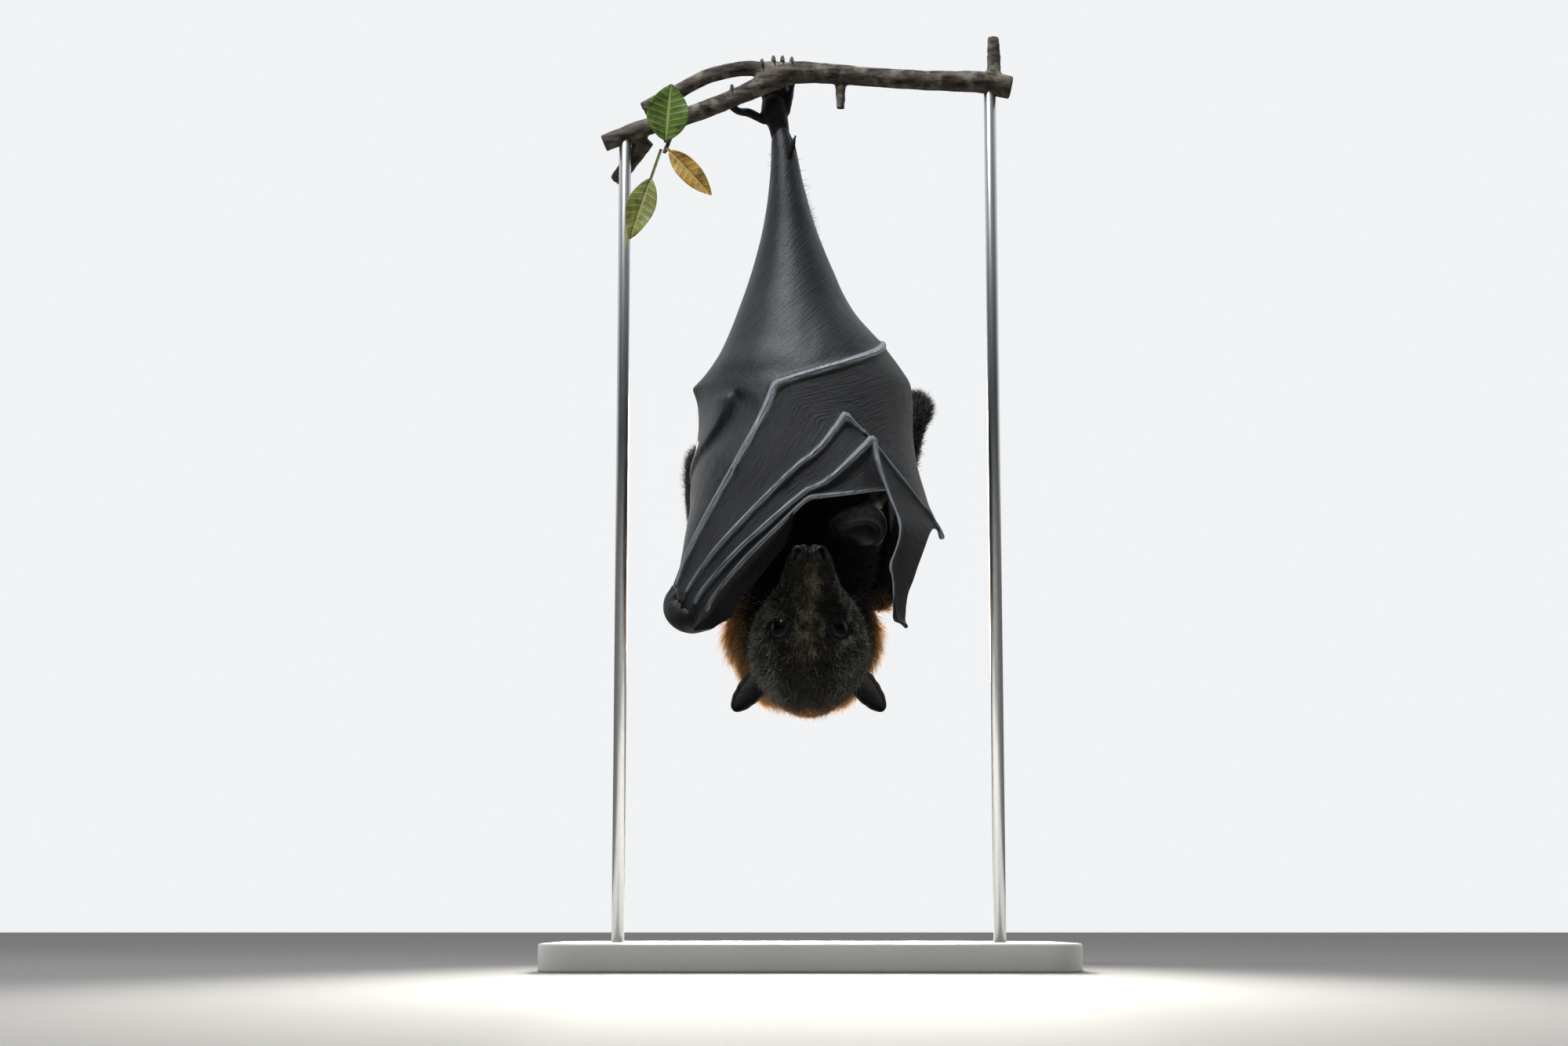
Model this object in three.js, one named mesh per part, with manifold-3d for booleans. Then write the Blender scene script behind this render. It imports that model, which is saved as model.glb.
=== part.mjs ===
/**
 * A grey-headed flying-fox at life size, roosting: it hangs head down by its right foot from a short
 * cut length of branch, with both wings wrapped round its body and its face turned to the front.
 * Two slim rods on a flat base hold the branch.
 *
 * Millimetres. X runs to the viewer's right, Y away from the viewer and Z up. The origin is the
 * middle of the base's underside. Left and right in the names are the animal's own, so its right
 * wing, which lies outermost, is on the -X side.
 *
 * All of the animal and its branch is drawn in heights above the lowest fur of its crown, and one
 * group lifts it clear of the base.
 */
import * as THREE from 'three';
import { LoftGeometry } from 'three/addons/geometries/LoftGeometry.js';
import { mergeVertices } from 'three/addons/utils/BufferGeometryUtils.js';
import Module from 'manifold-3d';

const wasm = await Module();
wasm.setup();

// ---------------------------------------------------------------- driving dimensions

const BASE = { width: 230, depth: 150, thickness: 12, corner: 16, bevel: 1 };
const CROWN_CLEARANCE = 100;
const LIFT = BASE.thickness + CROWN_CLEARANCE;
const ROD = { radius: 2.8, spacing: 85, foot: 6 };

const GAP = 0.3;          // clear space between neighbouring solids
const SHEET = 0.8;        // thickness of the wing membranes
const LEFT_LAYER = -4.5;  // depth of the left wing under the right one
const HEAD_TILT = 55;     // degrees that the muzzle rises from the view line
const HEAD_CENTRE = [0, -32.6, 42.6];

// The wrapped wings make one smooth bundle. Each row is a level section of its outer surface:
// height, left and right edge in x, front and back in y, middle in y, and the exponent that makes
// the section round (1) or boxy (0.5).
const BUNDLE = [
  [20, -60, 44, -50, 36, -8, 0.5],
  [36, -63, 46, -54, 42, -8, 0.5],
  [47, -64, 50, -55, 46, -8, 0.52],
  [60, -61.5, 56, -54.5, 52, -6, 0.56],
  [78, -58.5, 61.5, -53, 57, -3, 0.65],
  [94, -55.5, 56.5, -50, 60, 0, 0.75],
  [111, -53, 52.5, -47, 60, 4, 0.85],
  [128, -49.5, 51, -42, 58, 7, 0.95],
  [142, -48, 50.8, -38, 55, 8, 1],
  [152, -47.2, 49.5, -34, 52, 8, 1],
  [160, -45.5, 44.5, -31, 49, 8, 1],
  [171, -40.1, 36, -26, 45, 8, 1],
  [188, -32.9, 21.5, -19, 38, 8, 1],
  [207, -26.3, 12.4, -12, 30, 8, 1],
  [227, -21.2, 4.2, -6, 23, 8, 1],
  [246, -18.4, -1.2, -2, 18, 8, 1],
  [262, -17.8, -4, 1, 15, 8, 1],
  [274, -18.6, -5.6, 2, 13.5, 8, 1],
];

// ---------------------------------------------------------------- curves and sections

const lerp = (a, b, t) => a + (b - a) * t;
const power = (value, exponent) => Math.sign(value) * Math.abs(value) ** exponent;
const degrees = (angle) => THREE.MathUtils.degToRad(angle);
const point = ([x, y, z]) => new THREE.Vector3(x, y, z);

/** Smooth value of one column of a table whose first column rises. */
function along(rows, column, at) {
  const last = rows.length - 1;
  const level = Math.min(Math.max(at, rows[0][0]), rows[last][0]);
  let i = 0;
  while (i < last - 1 && rows[i + 1][0] < level) {
    i += 1;
  }
  const slope = (k) => {
    const below = rows[Math.max(k - 1, 0)];
    const above = rows[Math.min(k + 1, last)];
    return (above[column] - below[column]) / (above[0] - below[0]);
  };
  const span = rows[i + 1][0] - rows[i][0];
  const t = (level - rows[i][0]) / span;
  const rise = rows[i + 1][column] - rows[i][column];
  const bend = (1 - t) * (slope(i) * span - rise) - t * (slope(i + 1) * span - rise);
  return rows[i][column] + t * rise + t * (1 - t) * bend;
}

/** Point of a chain of straight lines through rows of numbers, at 0 to 1 of its length. */
function onChain(rows, at) {
  const steps = rows.slice(1).map((row, i) => Math.hypot(...row.map((value, k) => value - rows[i][k])));
  let rest = at * steps.reduce((sum, step) => sum + step, 0);
  let i = 0;
  while (i < steps.length - 1 && rest > steps[i]) {
    rest -= steps[i];
    i += 1;
  }
  const t = rest / steps[i];
  return rows[i].map((value, k) => lerp(value, rows[i + 1][k], t));
}

/** Section of the bundle at a height: its centre, half widths and squareness. */
function section(z) {
  const left = along(BUNDLE, 1, z);
  const right = along(BUNDLE, 2, z);
  const middle = along(BUNDLE, 5, z);
  return {
    x: (left + right) / 2,
    y: middle,
    half: (right - left) / 2,
    front: middle - along(BUNDLE, 3, z),
    back: along(BUNDLE, 4, z) - middle,
    box: along(BUNDLE, 6, z),
  };
}

/** Point of the bundle: phi is 0 in front and +90 at the right edge, lift is along the outward way. */
function onBundle([phi, z, lift]) {
  const { x, y, half, front, back, box } = section(z);
  const sine = Math.sin(degrees(phi));
  const cosine = Math.cos(degrees(phi));
  const reach = cosine > 0 ? front : back;
  return new THREE.Vector3(
    x + (half + lift) * power(sine, box),
    y - (reach + lift) * power(cosine, box),
    z,
  );
}

/** Angle, height and lift of a point on the front of the bundle, given as x, height and lift. */
function front([x, z, lift]) {
  const at = section(z);
  const across = Math.min(Math.max((x - at.x) / (at.half + lift), -1), 1);
  return [THREE.MathUtils.radToDeg(Math.asin(power(across, 1 / at.box))), z, lift];
}

/** Angle, height and lift of any point beside the bundle. */
function beside([x, y, z]) {
  const at = section(z);
  const reach = y < at.y ? at.front : at.back;
  let lift = 0;
  let across = 0;
  let forward = 0;
  for (let round = 0; round < 8; round += 1) {
    across = power((x - at.x) / (at.half + lift), 1 / at.box);
    forward = power((at.y - y) / (reach + lift), 1 / at.box);
    lift += (Math.hypot(across, forward) ** at.box - 1) * (at.half + reach) / 2;
  }
  return [THREE.MathUtils.radToDeg(Math.atan2(across, forward)), z, lift];
}

// ---------------------------------------------------------------- closed shapes

/** Closed loft through rings of points, each ring turned so that the wall faces outwards. */
function loft(rings) {
  const centre = (ring) => ring.reduce((sum, p) => sum.add(p), new THREE.Vector3()).divideScalar(ring.length);
  const ahead = centre(rings[rings.length - 1]).sub(centre(rings[0]));
  const middle = rings[Math.floor(rings.length / 2)];
  const turn = new THREE.Vector3();
  middle.forEach((p, i) => turn.add(new THREE.Vector3().crossVectors(p, middle[(i + 1) % middle.length])));
  const turned = turn.dot(ahead) < 0 ? rings.map((ring) => [...ring].reverse()) : rings;
  return new THREE.BufferGeometry().copy(new LoftGeometry(turned, { capStart: true, capEnd: true }));
}

/**
 * Round-ended limb along a curve: stations of [x, y, z, radius], thickened by grow. wide stretches
 * its sections in x, and a limb that isn't smooth runs straight from station to station.
 */
function limb(stations, { steps = 6, sides = 7, wide = 1, smooth = true } = {}) {
  return (grow = 0) => {
    const points = stations.map(point);
    const path = smooth ? new THREE.CatmullRomCurve3(points, false, 'centripetal') : chainCurve(points);
    const frames = path.computeFrenetFrames(steps, false);
    const rings = [];
    const ring = (i, reach, scale) => {
      const t = i / steps;
      const spot = smooth ? t * (stations.length - 1) : stationAt(points, t);
      const low = Math.min(Math.floor(spot), stations.length - 2);
      const radius = lerp(stations[low][3], stations[low + 1][3], spot - low) + grow;
      const centre = smooth ? path.getPoint(t) : path.getPointAt(t);
      centre.addScaledVector(frames.tangents[i], reach * radius);
      rings.push(Array.from({ length: sides }, (_, k) => {
        const angle = (k / sides) * 2 * Math.PI;
        const offset = frames.normals[i].clone().multiplyScalar(Math.cos(angle) * radius * scale);
        offset.addScaledVector(frames.binormals[i], Math.sin(angle) * radius * scale);
        offset.x *= wide;
        return offset.add(centre);
      }));
    };
    ring(0, -0.8, 0.5);
    for (let i = 0; i <= steps; i += 1) {
      ring(i, 0, 1);
    }
    ring(steps, 0.8, 0.5);
    return loft(rings);
  };
}

/** Curve of straight pieces through points. */
function chainCurve(points) {
  const path = new THREE.CurvePath();
  points.slice(1).forEach((end, i) => path.add(new THREE.LineCurve3(points[i], end)));
  return path;
}

/** Number of the station, with its fraction, at 0 to 1 of the length of a chain of points. */
function stationAt(points, at) {
  const steps = points.slice(1).map((end, i) => end.distanceTo(points[i]));
  let rest = at * steps.reduce((sum, step) => sum + step, 0);
  let i = 0;
  while (i < steps.length - 1 && rest > steps[i]) {
    rest -= steps[i];
    i += 1;
  }
  return i + Math.min(rest / steps[i], 1);
}

/** Upright body of level oval rings: stations of [z, half width, front, back, x]. */
function body(stations) {
  return (grow = 0) => loft(stations.map(([z, half, near, far, x = 0], row) => {
    const outermost = row === 0 || row === stations.length - 1;
    const way = Math.sign(stations[stations.length - 1][0] - stations[0][0]);
    const shift = outermost ? grow * way * (row === 0 ? -1 : 1) : 0;
    return Array.from({ length: 14 }, (_, k) => {
      const angle = (k / 14) * 2 * Math.PI;
      return new THREE.Vector3(
        x + (half + grow) * Math.cos(angle),
        (near + far) / 2 + ((far - near) / 2 + grow) * Math.sin(angle),
        z + shift,
      );
    });
  }));
}

/** Thin closed sheet: place(s, t, depth) gives a point at a depth under its outer face. */
function sheet(place, across, down) {
  return (grow = 0) => {
    const outer = [];
    const inner = [];
    for (let j = 0; j <= down; j += 1) {
      for (let i = 0; i <= across; i += 1) {
        outer.push(place(i / across, j / down, -grow));
        inner.push(place(i / across, j / down, SHEET + grow));
      }
    }
    return sandwich(outer, inner, across, down);
  };
}

/** Closed solid between two grids of points that share their edges' order. */
function sandwich(outer, inner, across, down) {
  const points = [...outer, ...inner];
  const faces = [];
  const wide = across + 1;
  const quad = (a, b, c, d) => faces.push(a, b, c, a, c, d);
  for (let j = 0; j < down; j += 1) {
    for (let i = 0; i < across; i += 1) {
      const a = j * wide + i;
      quad(a, a + wide, a + wide + 1, a + 1);
      quad(a + outer.length, a + outer.length + 1, a + outer.length + wide + 1, a + outer.length + wide);
    }
  }
  const rim = [];
  for (let i = 0; i < across; i += 1) rim.push(i);
  for (let j = 0; j < down; j += 1) rim.push(j * wide + across);
  for (let i = across; i > 0; i -= 1) rim.push(down * wide + i);
  for (let j = down; j > 0; j -= 1) rim.push(j * wide);
  rim.forEach((a, k) => {
    const b = rim[(k + 1) % rim.length];
    quad(a, b, b + outer.length, a + outer.length);
  });
  const geometry = new THREE.BufferGeometry().setFromPoints(points);
  geometry.setIndex(faces);
  return geometry;
}

/** Manifold solid of a closed geometry, turned right side out. */
function solid(geometry) {
  geometry.deleteAttribute('normal');
  geometry.deleteAttribute('uv');
  const merged = mergeVertices(geometry, 1e-4);
  const position = merged.attributes.position;
  const index = merged.index.array;
  const corner = (k) => new THREE.Vector3().fromBufferAttribute(position, index[k]);
  let volume = 0;
  for (let k = 0; k < index.length; k += 3) {
    volume += corner(k).dot(corner(k + 1).cross(corner(k + 2)));
  }
  const triangles = volume < 0 ? Array.from(index).reverse() : Array.from(index);
  const whole = triangles.filter((_, k) => {
    const [a, b, c] = triangles.slice(k - (k % 3), k - (k % 3) + 3);
    return a !== b && b !== c && a !== c;
  });
  return new wasm.Manifold(new wasm.Mesh({
    numProp: 3,
    vertProperties: new Float32Array(position.array),
    triVerts: new Uint32Array(whole),
  }));
}

/** Largest connected piece of a solid. */
function largest(shape) {
  return shape.decompose().reduce((best, part) => (part.volume() > best.volume() ? part : best));
}

/** Geometry of a manifold solid. */
function geometryOf(shape) {
  const mesh = shape.getMesh();
  const geometry = new THREE.BufferGeometry();
  geometry.setAttribute('position', new THREE.BufferAttribute(mesh.vertProperties, 3));
  geometry.setIndex(new THREE.BufferAttribute(mesh.triVerts, 1));
  geometry.computeVertexNormals();
  return geometry;
}

// ---------------------------------------------------------------- materials

const finish = (color, roughness, metalness = 0) =>
  new THREE.MeshStandardMaterial({ color, roughness, metalness });

const WING_SKIN = finish('#3c3d3e', 0.55);
const HEAD_FUR = finish('#2b2a22', 0.95);
const MANTLE_FUR = finish('#8a5620', 0.95);
const BODY_FUR = finish('#3a3532', 0.95);
const BARE_SKIN = finish('#141414', 0.6);
const EYE = finish('#0d0a08', 0.08);
const CLAW = finish('#1b1918', 0.35);
const BARK = finish('#4a4038', 0.9);
const LEAF = finish('#55731a', 0.6);
const BASE_PAINT = finish('#e6e4de', 0.5);
const STEEL = finish('#b9bbbd', 0.3, 1);

// ---------------------------------------------------------------- assembly of the pieces

const makers = new Map();

/** Notes a piece: its maker, material, the neighbours it is cut back from and what it lies within. */
function piece(name, make, material, neighbours = [], within = null) {
  makers.set(name, { make, material, neighbours, within });
}

/** Named mesh of a piece, cut back from its neighbours by the gap. */
function meshOf(name) {
  const { make, material, neighbours, within } = makers.get(name);
  let shape = solid(make(0));
  if (within) {
    shape = shape.intersect(solid(within(0)));
  }
  neighbours.forEach((other) => {
    shape = shape.subtract(solid(makers.get(other).make(GAP)));
  });
  const mesh = new THREE.Mesh(geometryOf(largest(shape)), material);
  mesh.name = name;
  return mesh;
}

// ---------------------------------------------------------------- head

/** Moves a geometry from the head's own frame, z along the muzzle and y to the throat. */
function inHead(geometry) {
  const rise = degrees(HEAD_TILT);
  const throat = new THREE.Vector3(0, Math.sin(rise), Math.cos(rise));
  const muzzle = new THREE.Vector3(0, -Math.cos(rise), Math.sin(rise));
  const frame = new THREE.Matrix4().makeBasis(new THREE.Vector3(1, 0, 0), throat, muzzle);
  return geometry.applyMatrix4(frame.setPosition(point(HEAD_CENTRE)));
}

// Stations from the muzzle to the nape: place on the axis, half width, forehead side, throat side.
const HEAD = [
  [34.4, 6.4, 2.6, 6.4],
  [32, 9, 4.6, 9],
  [27, 10.9, 6, 11.2],
  [20, 12.8, 7.4, 13.4],
  [12.6, 15.2, 9.8, 15.6],
  [6.4, 19.8, 13.2, 17.6],
  [-2, 25.4, 17.8, 19.6],
  [-11, 28, 21, 21],
  [-19, 28.4, 23, 21.6],
  [-27, 26.4, 23.6, 20.6],
  [-34.5, 21, 21.6, 17.6],
  [-41, 14.2, 16.8, 12],
  [-45.5, 5.6, 10.4, 5],
];
const MOUTH = { back: 4, front: 40, depth: 5.6, slope: 3.2 };
const EYE_BALL = { radius: 6, apart: 12.4, forward: 0.5, up: 9 };
const NOSTRIL = { radius: 3.6, start: [2.7, 1.6, 28.4], end: [4.6, -0.2, 34.6] };
const EAR = { root: [18.5, -2.5, -25], tip: [34, 1.6, -49.5], width: 14, wall: 1.1 };

const headShape = (grow = 0) => inHead(loft(HEAD.map(([s, half, forehead, throat], row) => {
  const shift = (row === 0 ? grow : 0) - (row === HEAD.length - 1 ? grow : 0);
  return Array.from({ length: 14 }, (_, k) => {
    const angle = (k / 14) * 2 * Math.PI;
    const upDown = Math.sin(angle);
    return new THREE.Vector3(
      (half + grow) * power(Math.cos(angle), 0.92),
      upDown * ((upDown < 0 ? forehead : throat) + grow),
      s + shift,
    );
  });
})));

/** Wedge under the mouth line that holds the lower jaw. */
const jawBlock = (grow = 0) => {
  const { back, front: ahead, depth, slope } = MOUTH;
  const outline = new THREE.Shape([
    new THREE.Vector2(back - grow, depth + slope - grow),
    new THREE.Vector2(ahead + grow, depth - slope - grow),
    new THREE.Vector2(ahead + grow, 30),
    new THREE.Vector2(back - grow, 30),
  ]);
  const block = new THREE.ExtrudeGeometry(outline, { depth: 60, bevelEnabled: false });
  block.translate(0, 0, -30);
  const turn = new THREE.Matrix4().set(0, 0, -1, 0, 0, 1, 0, 0, 1, 0, 0, 0, 0, 0, 0, 1);
  return inHead(block.applyMatrix4(turn));
};

/** Both tubular nostrils, joined at their roots, with a notch between their tips. */
const noseShape = (grow = 0) => {
  const { radius, start, end } = NOSTRIL;
  const tube = (side) => solid(inHead(limb([
    [side * start[0], start[1], start[2], radius],
    [side * end[0], end[1], end[2], radius * 0.86],
  ], { steps: 2, sides: 8 })(grow)));
  return geometryOf(tube(-1).add(tube(1)));
};

const eyeShape = (side) => (grow = 0) => {
  const { radius, apart, forward, up } = EYE_BALL;
  const ball = new THREE.SphereGeometry(radius + grow, 9, 7);
  return inHead(ball.translate(side * apart, -up, forward));
};

/** Pointed cup of an ear: arcs that open forwards and narrow to the tip. */
const earShape = (side) => (grow = 0) => {
  const root = new THREE.Vector3(side * EAR.root[0], EAR.root[1], EAR.root[2]);
  const tip = new THREE.Vector3(side * EAR.tip[0], EAR.tip[1], EAR.tip[2]);
  const ahead = tip.clone().sub(root).normalize();
  const out = new THREE.Vector3(side * 0.55, 0.35, 0.6);
  out.addScaledVector(ahead, -out.dot(ahead)).normalize();
  const back = new THREE.Vector3().crossVectors(ahead, out).normalize();
  const open = back.y > 0 ? back.clone().negate() : back;
  const rings = [0, 0.22, 0.45, 0.66, 0.84, 0.96].map((t) => {
    const half = (EAR.width / 2) * Math.sqrt(1 - ((t - 0.3) / 0.71) ** 2) + grow;
    const centre = root.clone().lerp(tip, t);
    const arc = (radius, from, to) => Array.from({ length: 6 }, (_, k) => {
      const angle = degrees(lerp(from, to, k / 5));
      return centre.clone()
        .addScaledVector(out, Math.sin(angle) * radius)
        .addScaledVector(open, -Math.cos(angle) * radius * 0.55);
    });
    const wall = Math.min(EAR.wall + 2 * grow, half * 0.8);
    return [...arc(half, -105, 105), ...arc(half - wall, 105, -105)];
  });
  return inHead(loft(rings));
};

const SIDES = [['right', -1], ['left', 1]];

function makeHead() {
  piece('nose', noseShape, BARE_SKIN);
  SIDES.forEach(([side, sign]) => {
    piece(`eye_${side}`, eyeShape(sign), EYE);
  });
  piece('head', headShape, HEAD_FUR, ['jaw_block', 'nose', 'eye_right', 'eye_left']);
  piece('lower_jaw', headShape, HEAD_FUR, ['nose', 'eye_right', 'eye_left'], jawBlock);
  SIDES.forEach(([side, sign]) => {
    piece(`ear_${side}`, earShape(sign), BARE_SKIN, ['head']);
  });
}

// ---------------------------------------------------------------- neck, trunk and legs

const NECK = [
  [76, 24, 8, 46, -1],
  [66, 35, -3, 51, -2],
  [52, 41, -10, 51, -2.5],
  [39, 42, -16, 47, -2.5],
  [27, 38.5, -18, 41, -2],
  [16, 33, -17, 34, -1.5],
  [8, 25, -13, 26, -1],
  [3, 12, -6, 17, 0],
];

const TRUNK = [
  [206, 6, 18, 34, -3],
  [199, 13, 11, 39, -3],
  [188, 19.5, 5, 42.5, -2],
  [172, 26.5, -3, 47.5, -1],
  [150, 32, -12, 53, 0],
  [122, 35, -19, 57, 0],
  [95, 35, -18, 58, 0],
  [72, 34, -6, 55, -1],
  [58, 30, 4, 50, -1],
  [48, 21, 13, 43, -1],
];

// Leg and arm stations: x, y, height, radius.
const THIGH = {
  right: [[-13, 16, 172, 12], [-8, 27, 194, 11], [-1, 33, 213, 9]],
  left: [[15, 14, 168, 12], [26, 0, 144, 10.5], [31, -10, 124, 8.6]],
};
const SHANK = {
  right: [[-1, 33, 213, 8.6], [-4, 24, 232, 7.4], [-9, 14, 252, 5], [-12.6, 8, 270, 3.8]],
  left: [[31, -10, 124, 8.2], [25, -14, 143, 6.6], [15, -10, 163, 4.8], [9, -6, 178, 3.8]],
};
const FOOT = {
  right: [[-12.4, 8, 270.5, 3], [-13.6, 8, 278, 3.5], [-15.6, 8.4, 285, 4.3], [-16, 9, 289.5, 4]],
  left: [[9, -6, 178, 2.9], [6, -3, 186, 3.2], [3, 2, 195, 3.6], [2, 5, 202, 3]],
};
const UPPER_ARM = {
  right: [[-34, 20, 58, 11], [-43, 36, 92, 10], [-49, 50, 122, 8.6]],
  left: [[33, 20, 58, 11], [41, 34, 102, 9.6], [50.5, 45, 147, 9]],
};
const FOREARM = {
  right: [
    [-49.5, 51, 125, 8.2], [-51.5, 28, 106, 6.6], [-51, 4, 86, 5.2], [-53, -20, 65, 4.6], [-57, -37, 50, 4.8],
  ],
  left: [
    [51.5, 47, 150, 8.6], [43.5, 24, 131, 6], [39.5, 0, 114, 5.2], [32, -22, 98, 4.8], [23, -39, 85, 5],
  ],
};
const WRIST = {
  right: [[-58.8, -37.5, 51, 7], [-55, -41.5, 46.5, 7.8], [-48.5, -43, 44, 6.4]],
  left: [[25, -38, 84, 9], [21.5, -41, 82, 10.6], [16, -41, 82, 8.6]],
};
const THUMB = {
  right: [[-51, -36, 44, 3], [-42, -37, 50, 2.4], [-31, -40, 60, 2], [-26, -42, 65, 1.2]],
  left: [[27, -36, 74, 3], [34, -33, 65, 2.4], [42, -29, 56, 2], [45, -27, 51, 1.2]],
};

// Toes of the gripping foot climb behind the branch, and their claws hook over its top.
const TOES = [
  { name: 'right_toe_1', x: -20.5, side: -35.4, low: 284, top: 286.6 },
  { name: 'right_toe_2', x: -18.4, side: -21.4, low: 290, top: 299 },
  { name: 'right_toe_3', x: -15.6, side: -16, low: 291, top: 300.6 },
  { name: 'right_toe_4', x: -12.6, side: -11.8, low: 290.5, top: 300.6 },
  { name: 'right_toe_5', x: -10, side: -7.4, low: 288, top: 300 },
];
const TOE = { depth: 9.6, radius: 1.9, hook: 8.6 };

const toeStations = ({ x, side, low, top }) => [
  [x, 9, low, TOE.radius],
  [lerp(x, side, 0.6), TOE.depth, lerp(low, top, 0.55), TOE.radius],
  [side, TOE.depth - 0.5, top, TOE.radius - 0.2],
];
const clawStations = ({ side, top }) => [
  [side, TOE.depth - 0.8, top + 3, TOE.radius - 0.3],
  [side, TOE.depth - 2.2, top + TOE.hook - 2, 1.5],
  [side, 3.4, top + TOE.hook, 1.25],
  [side, -1.4, top + TOE.hook - 0.8, 0.9],
  [side, -5, top + TOE.hook - 3.8, 0.45],
];

function makeBody() {
  piece('trunk', body(TRUNK), BODY_FUR);
  piece('neck', body(NECK), MANTLE_FUR, ['head', 'jaw_block', 'trunk', 'ear_right', 'ear_left']);
  SIDES.forEach(([side]) => {
    piece(`${side}_thigh`, limb(THIGH[side], { steps: 3 }), BODY_FUR, ['trunk']);
    piece(`${side}_shank`, limb(SHANK[side], { steps: 4 }), BODY_FUR, [`${side}_thigh`, 'trunk']);
    const foot = limb(FOOT[side], { steps: 4, wide: 1.42 });
    piece(`${side}_foot`, foot, BARE_SKIN, [`${side}_shank`, 'trunk', 'perch']);
    piece(`${side}_upper_arm`, limb(UPPER_ARM[side], { steps: 4 }), BODY_FUR, ['trunk', 'neck_block']);
    piece(`${side}_forearm`, limb(FOREARM[side]), BODY_FUR, [`${side}_upper_arm`]);
    piece(`${side}_wrist`, limb(WRIST[side], { steps: 3, sides: 8 }), WING_SKIN, [`${side}_forearm`]);
    piece(`${side}_thumb`, limb(THUMB[side], { steps: 4, sides: 5 }), WING_SKIN, [`${side}_wrist`]);
  });
  TOES.forEach((toe, k) => {
    const others = k > 0 ? [TOES[k - 1].name] : [];
    const bones = limb(toeStations(toe), { steps: 2, sides: 5 });
    const claw = limb(clawStations(toe), { steps: 4, sides: 4 });
    piece(toe.name, bones, BARE_SKIN, ['right_foot', 'perch', ...others]);
    piece(`${toe.name}_claw`, claw, CLAW, [toe.name, 'perch']);
  });
}

// ---------------------------------------------------------------- wings

// Finger stations on the front of the bundle: x, height, lift and radius, thicker at the knuckles.
const FINGER = {
  right_2: [[-47, 47.5, 0, 1.8], [1, 92.5, 0.3, 1.8], [33.4, 97, 0.4, 1]],
  right_3: [[-50, 53, 0, 2], [0, 96, 0.6, 1.6], [28.2, 120.6, 3, 2.2], [36.3, 91.5, 1.6, 1.5],
    [39.6, 82, 0.6, 1.4], [36, 62, 0, 1.3], [39.4, 36.5, 0, 1.9]],
  right_4: [[-54.4, 56, 0, 2], [-10, 102, 0, 1.6], [16, 131, 0.6, 2.2], [23.5, 124, -1, 1.5],
    [31.5, 114.4, -1.8, 1.4], [52, 88.8, -0.4, 1.4], [59, 78.2, 0, 1.9]],
  right_5: [[-55.5, 59, 0, 2], [-32, 108, 0, 1.6], [-14.5, 146, 0.6, 2.3], [34, 171, 0.2, 1.9]],
  left_3: [[10, 88, LEFT_LAYER, 1.8], [-18, 101, LEFT_LAYER, 1.4], [-44, 113, LEFT_LAYER, 1.8]],
  left_4: [[13, 92.5, LEFT_LAYER, 1.8], [-15, 112, LEFT_LAYER, 1.4], [-42, 130, LEFT_LAYER, 1.8]],
  left_5: [[18, 97, LEFT_LAYER, 1.8], [-10, 122, LEFT_LAYER, 1.4], [-37.6, 146, LEFT_LAYER + 1.2, 2],
    [-47, 151.5, LEFT_LAYER + 3, 1.8]],
};
const FINGER_STEPS = { right_2: 7, right_3: 14, right_4: 13, right_5: 11, left_3: 5, left_4: 6, left_5: 7 };
const FINGER_ROOM = 2.5;

const fingerNode = (name) => name.replace('_', '_finger_');

const fingerChain = (name) => FINGER[name].map(([x, z, lift, radius]) => [...front([x, z, lift]), radius]);

const fingerShape = (name) => {
  const chain = fingerChain(name);
  const steps = FINGER_STEPS[name];
  const stations = Array.from({ length: steps + 1 }, (_, k) => {
    const row = onChain(chain, k / steps);
    return [...onBundle(row).toArray(), row[3]];
  });
  return limb(stations, { steps, sides: 5, smooth: false });
};

/** Part of a chain between two fractions of its length. */
const partOf = (chain, from, to, count = 8) =>
  Array.from({ length: count + 1 }, (_, k) => onChain(chain, lerp(from, to, k / count)).slice(0, 3));

/**
 * Membrane between two edges, each a chain of angle, height and lift. roomA and roomB keep it clear
 * of the bones along its edges, sag hollows its middle, settle is how soon the lift of the first
 * edge dies out, and raise adds a lift of its own.
 */
const stretched = (edgeA, edgeB, { across, down, roomA, roomB, sag = 0, settle = 1, raise = () => 0 }) =>
  sheet((s, t, depth) => {
    const a = onChain(edgeA, t);
    const b = onChain(edgeB, t);
    const width = onBundle(a).distanceTo(onBundle(b));
    const share = lerp(Math.min(roomA(t) / width, 0.42), 1 - Math.min(roomB(t) / width, 0.42), s);
    const [phi, z] = a.map((value, k) => lerp(value, b[k], share));
    const lift = lerp(b[2], a[2], (1 - share) ** settle) - 4 * s * (1 - s) * sag + raise(phi, z);
    return onBundle([phi, z, lift - depth]);
  }, across, down);

const beforeAfter = (change, before, after) => (t) => (t < change ? before : after);
const always = (value) => () => value;

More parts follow.
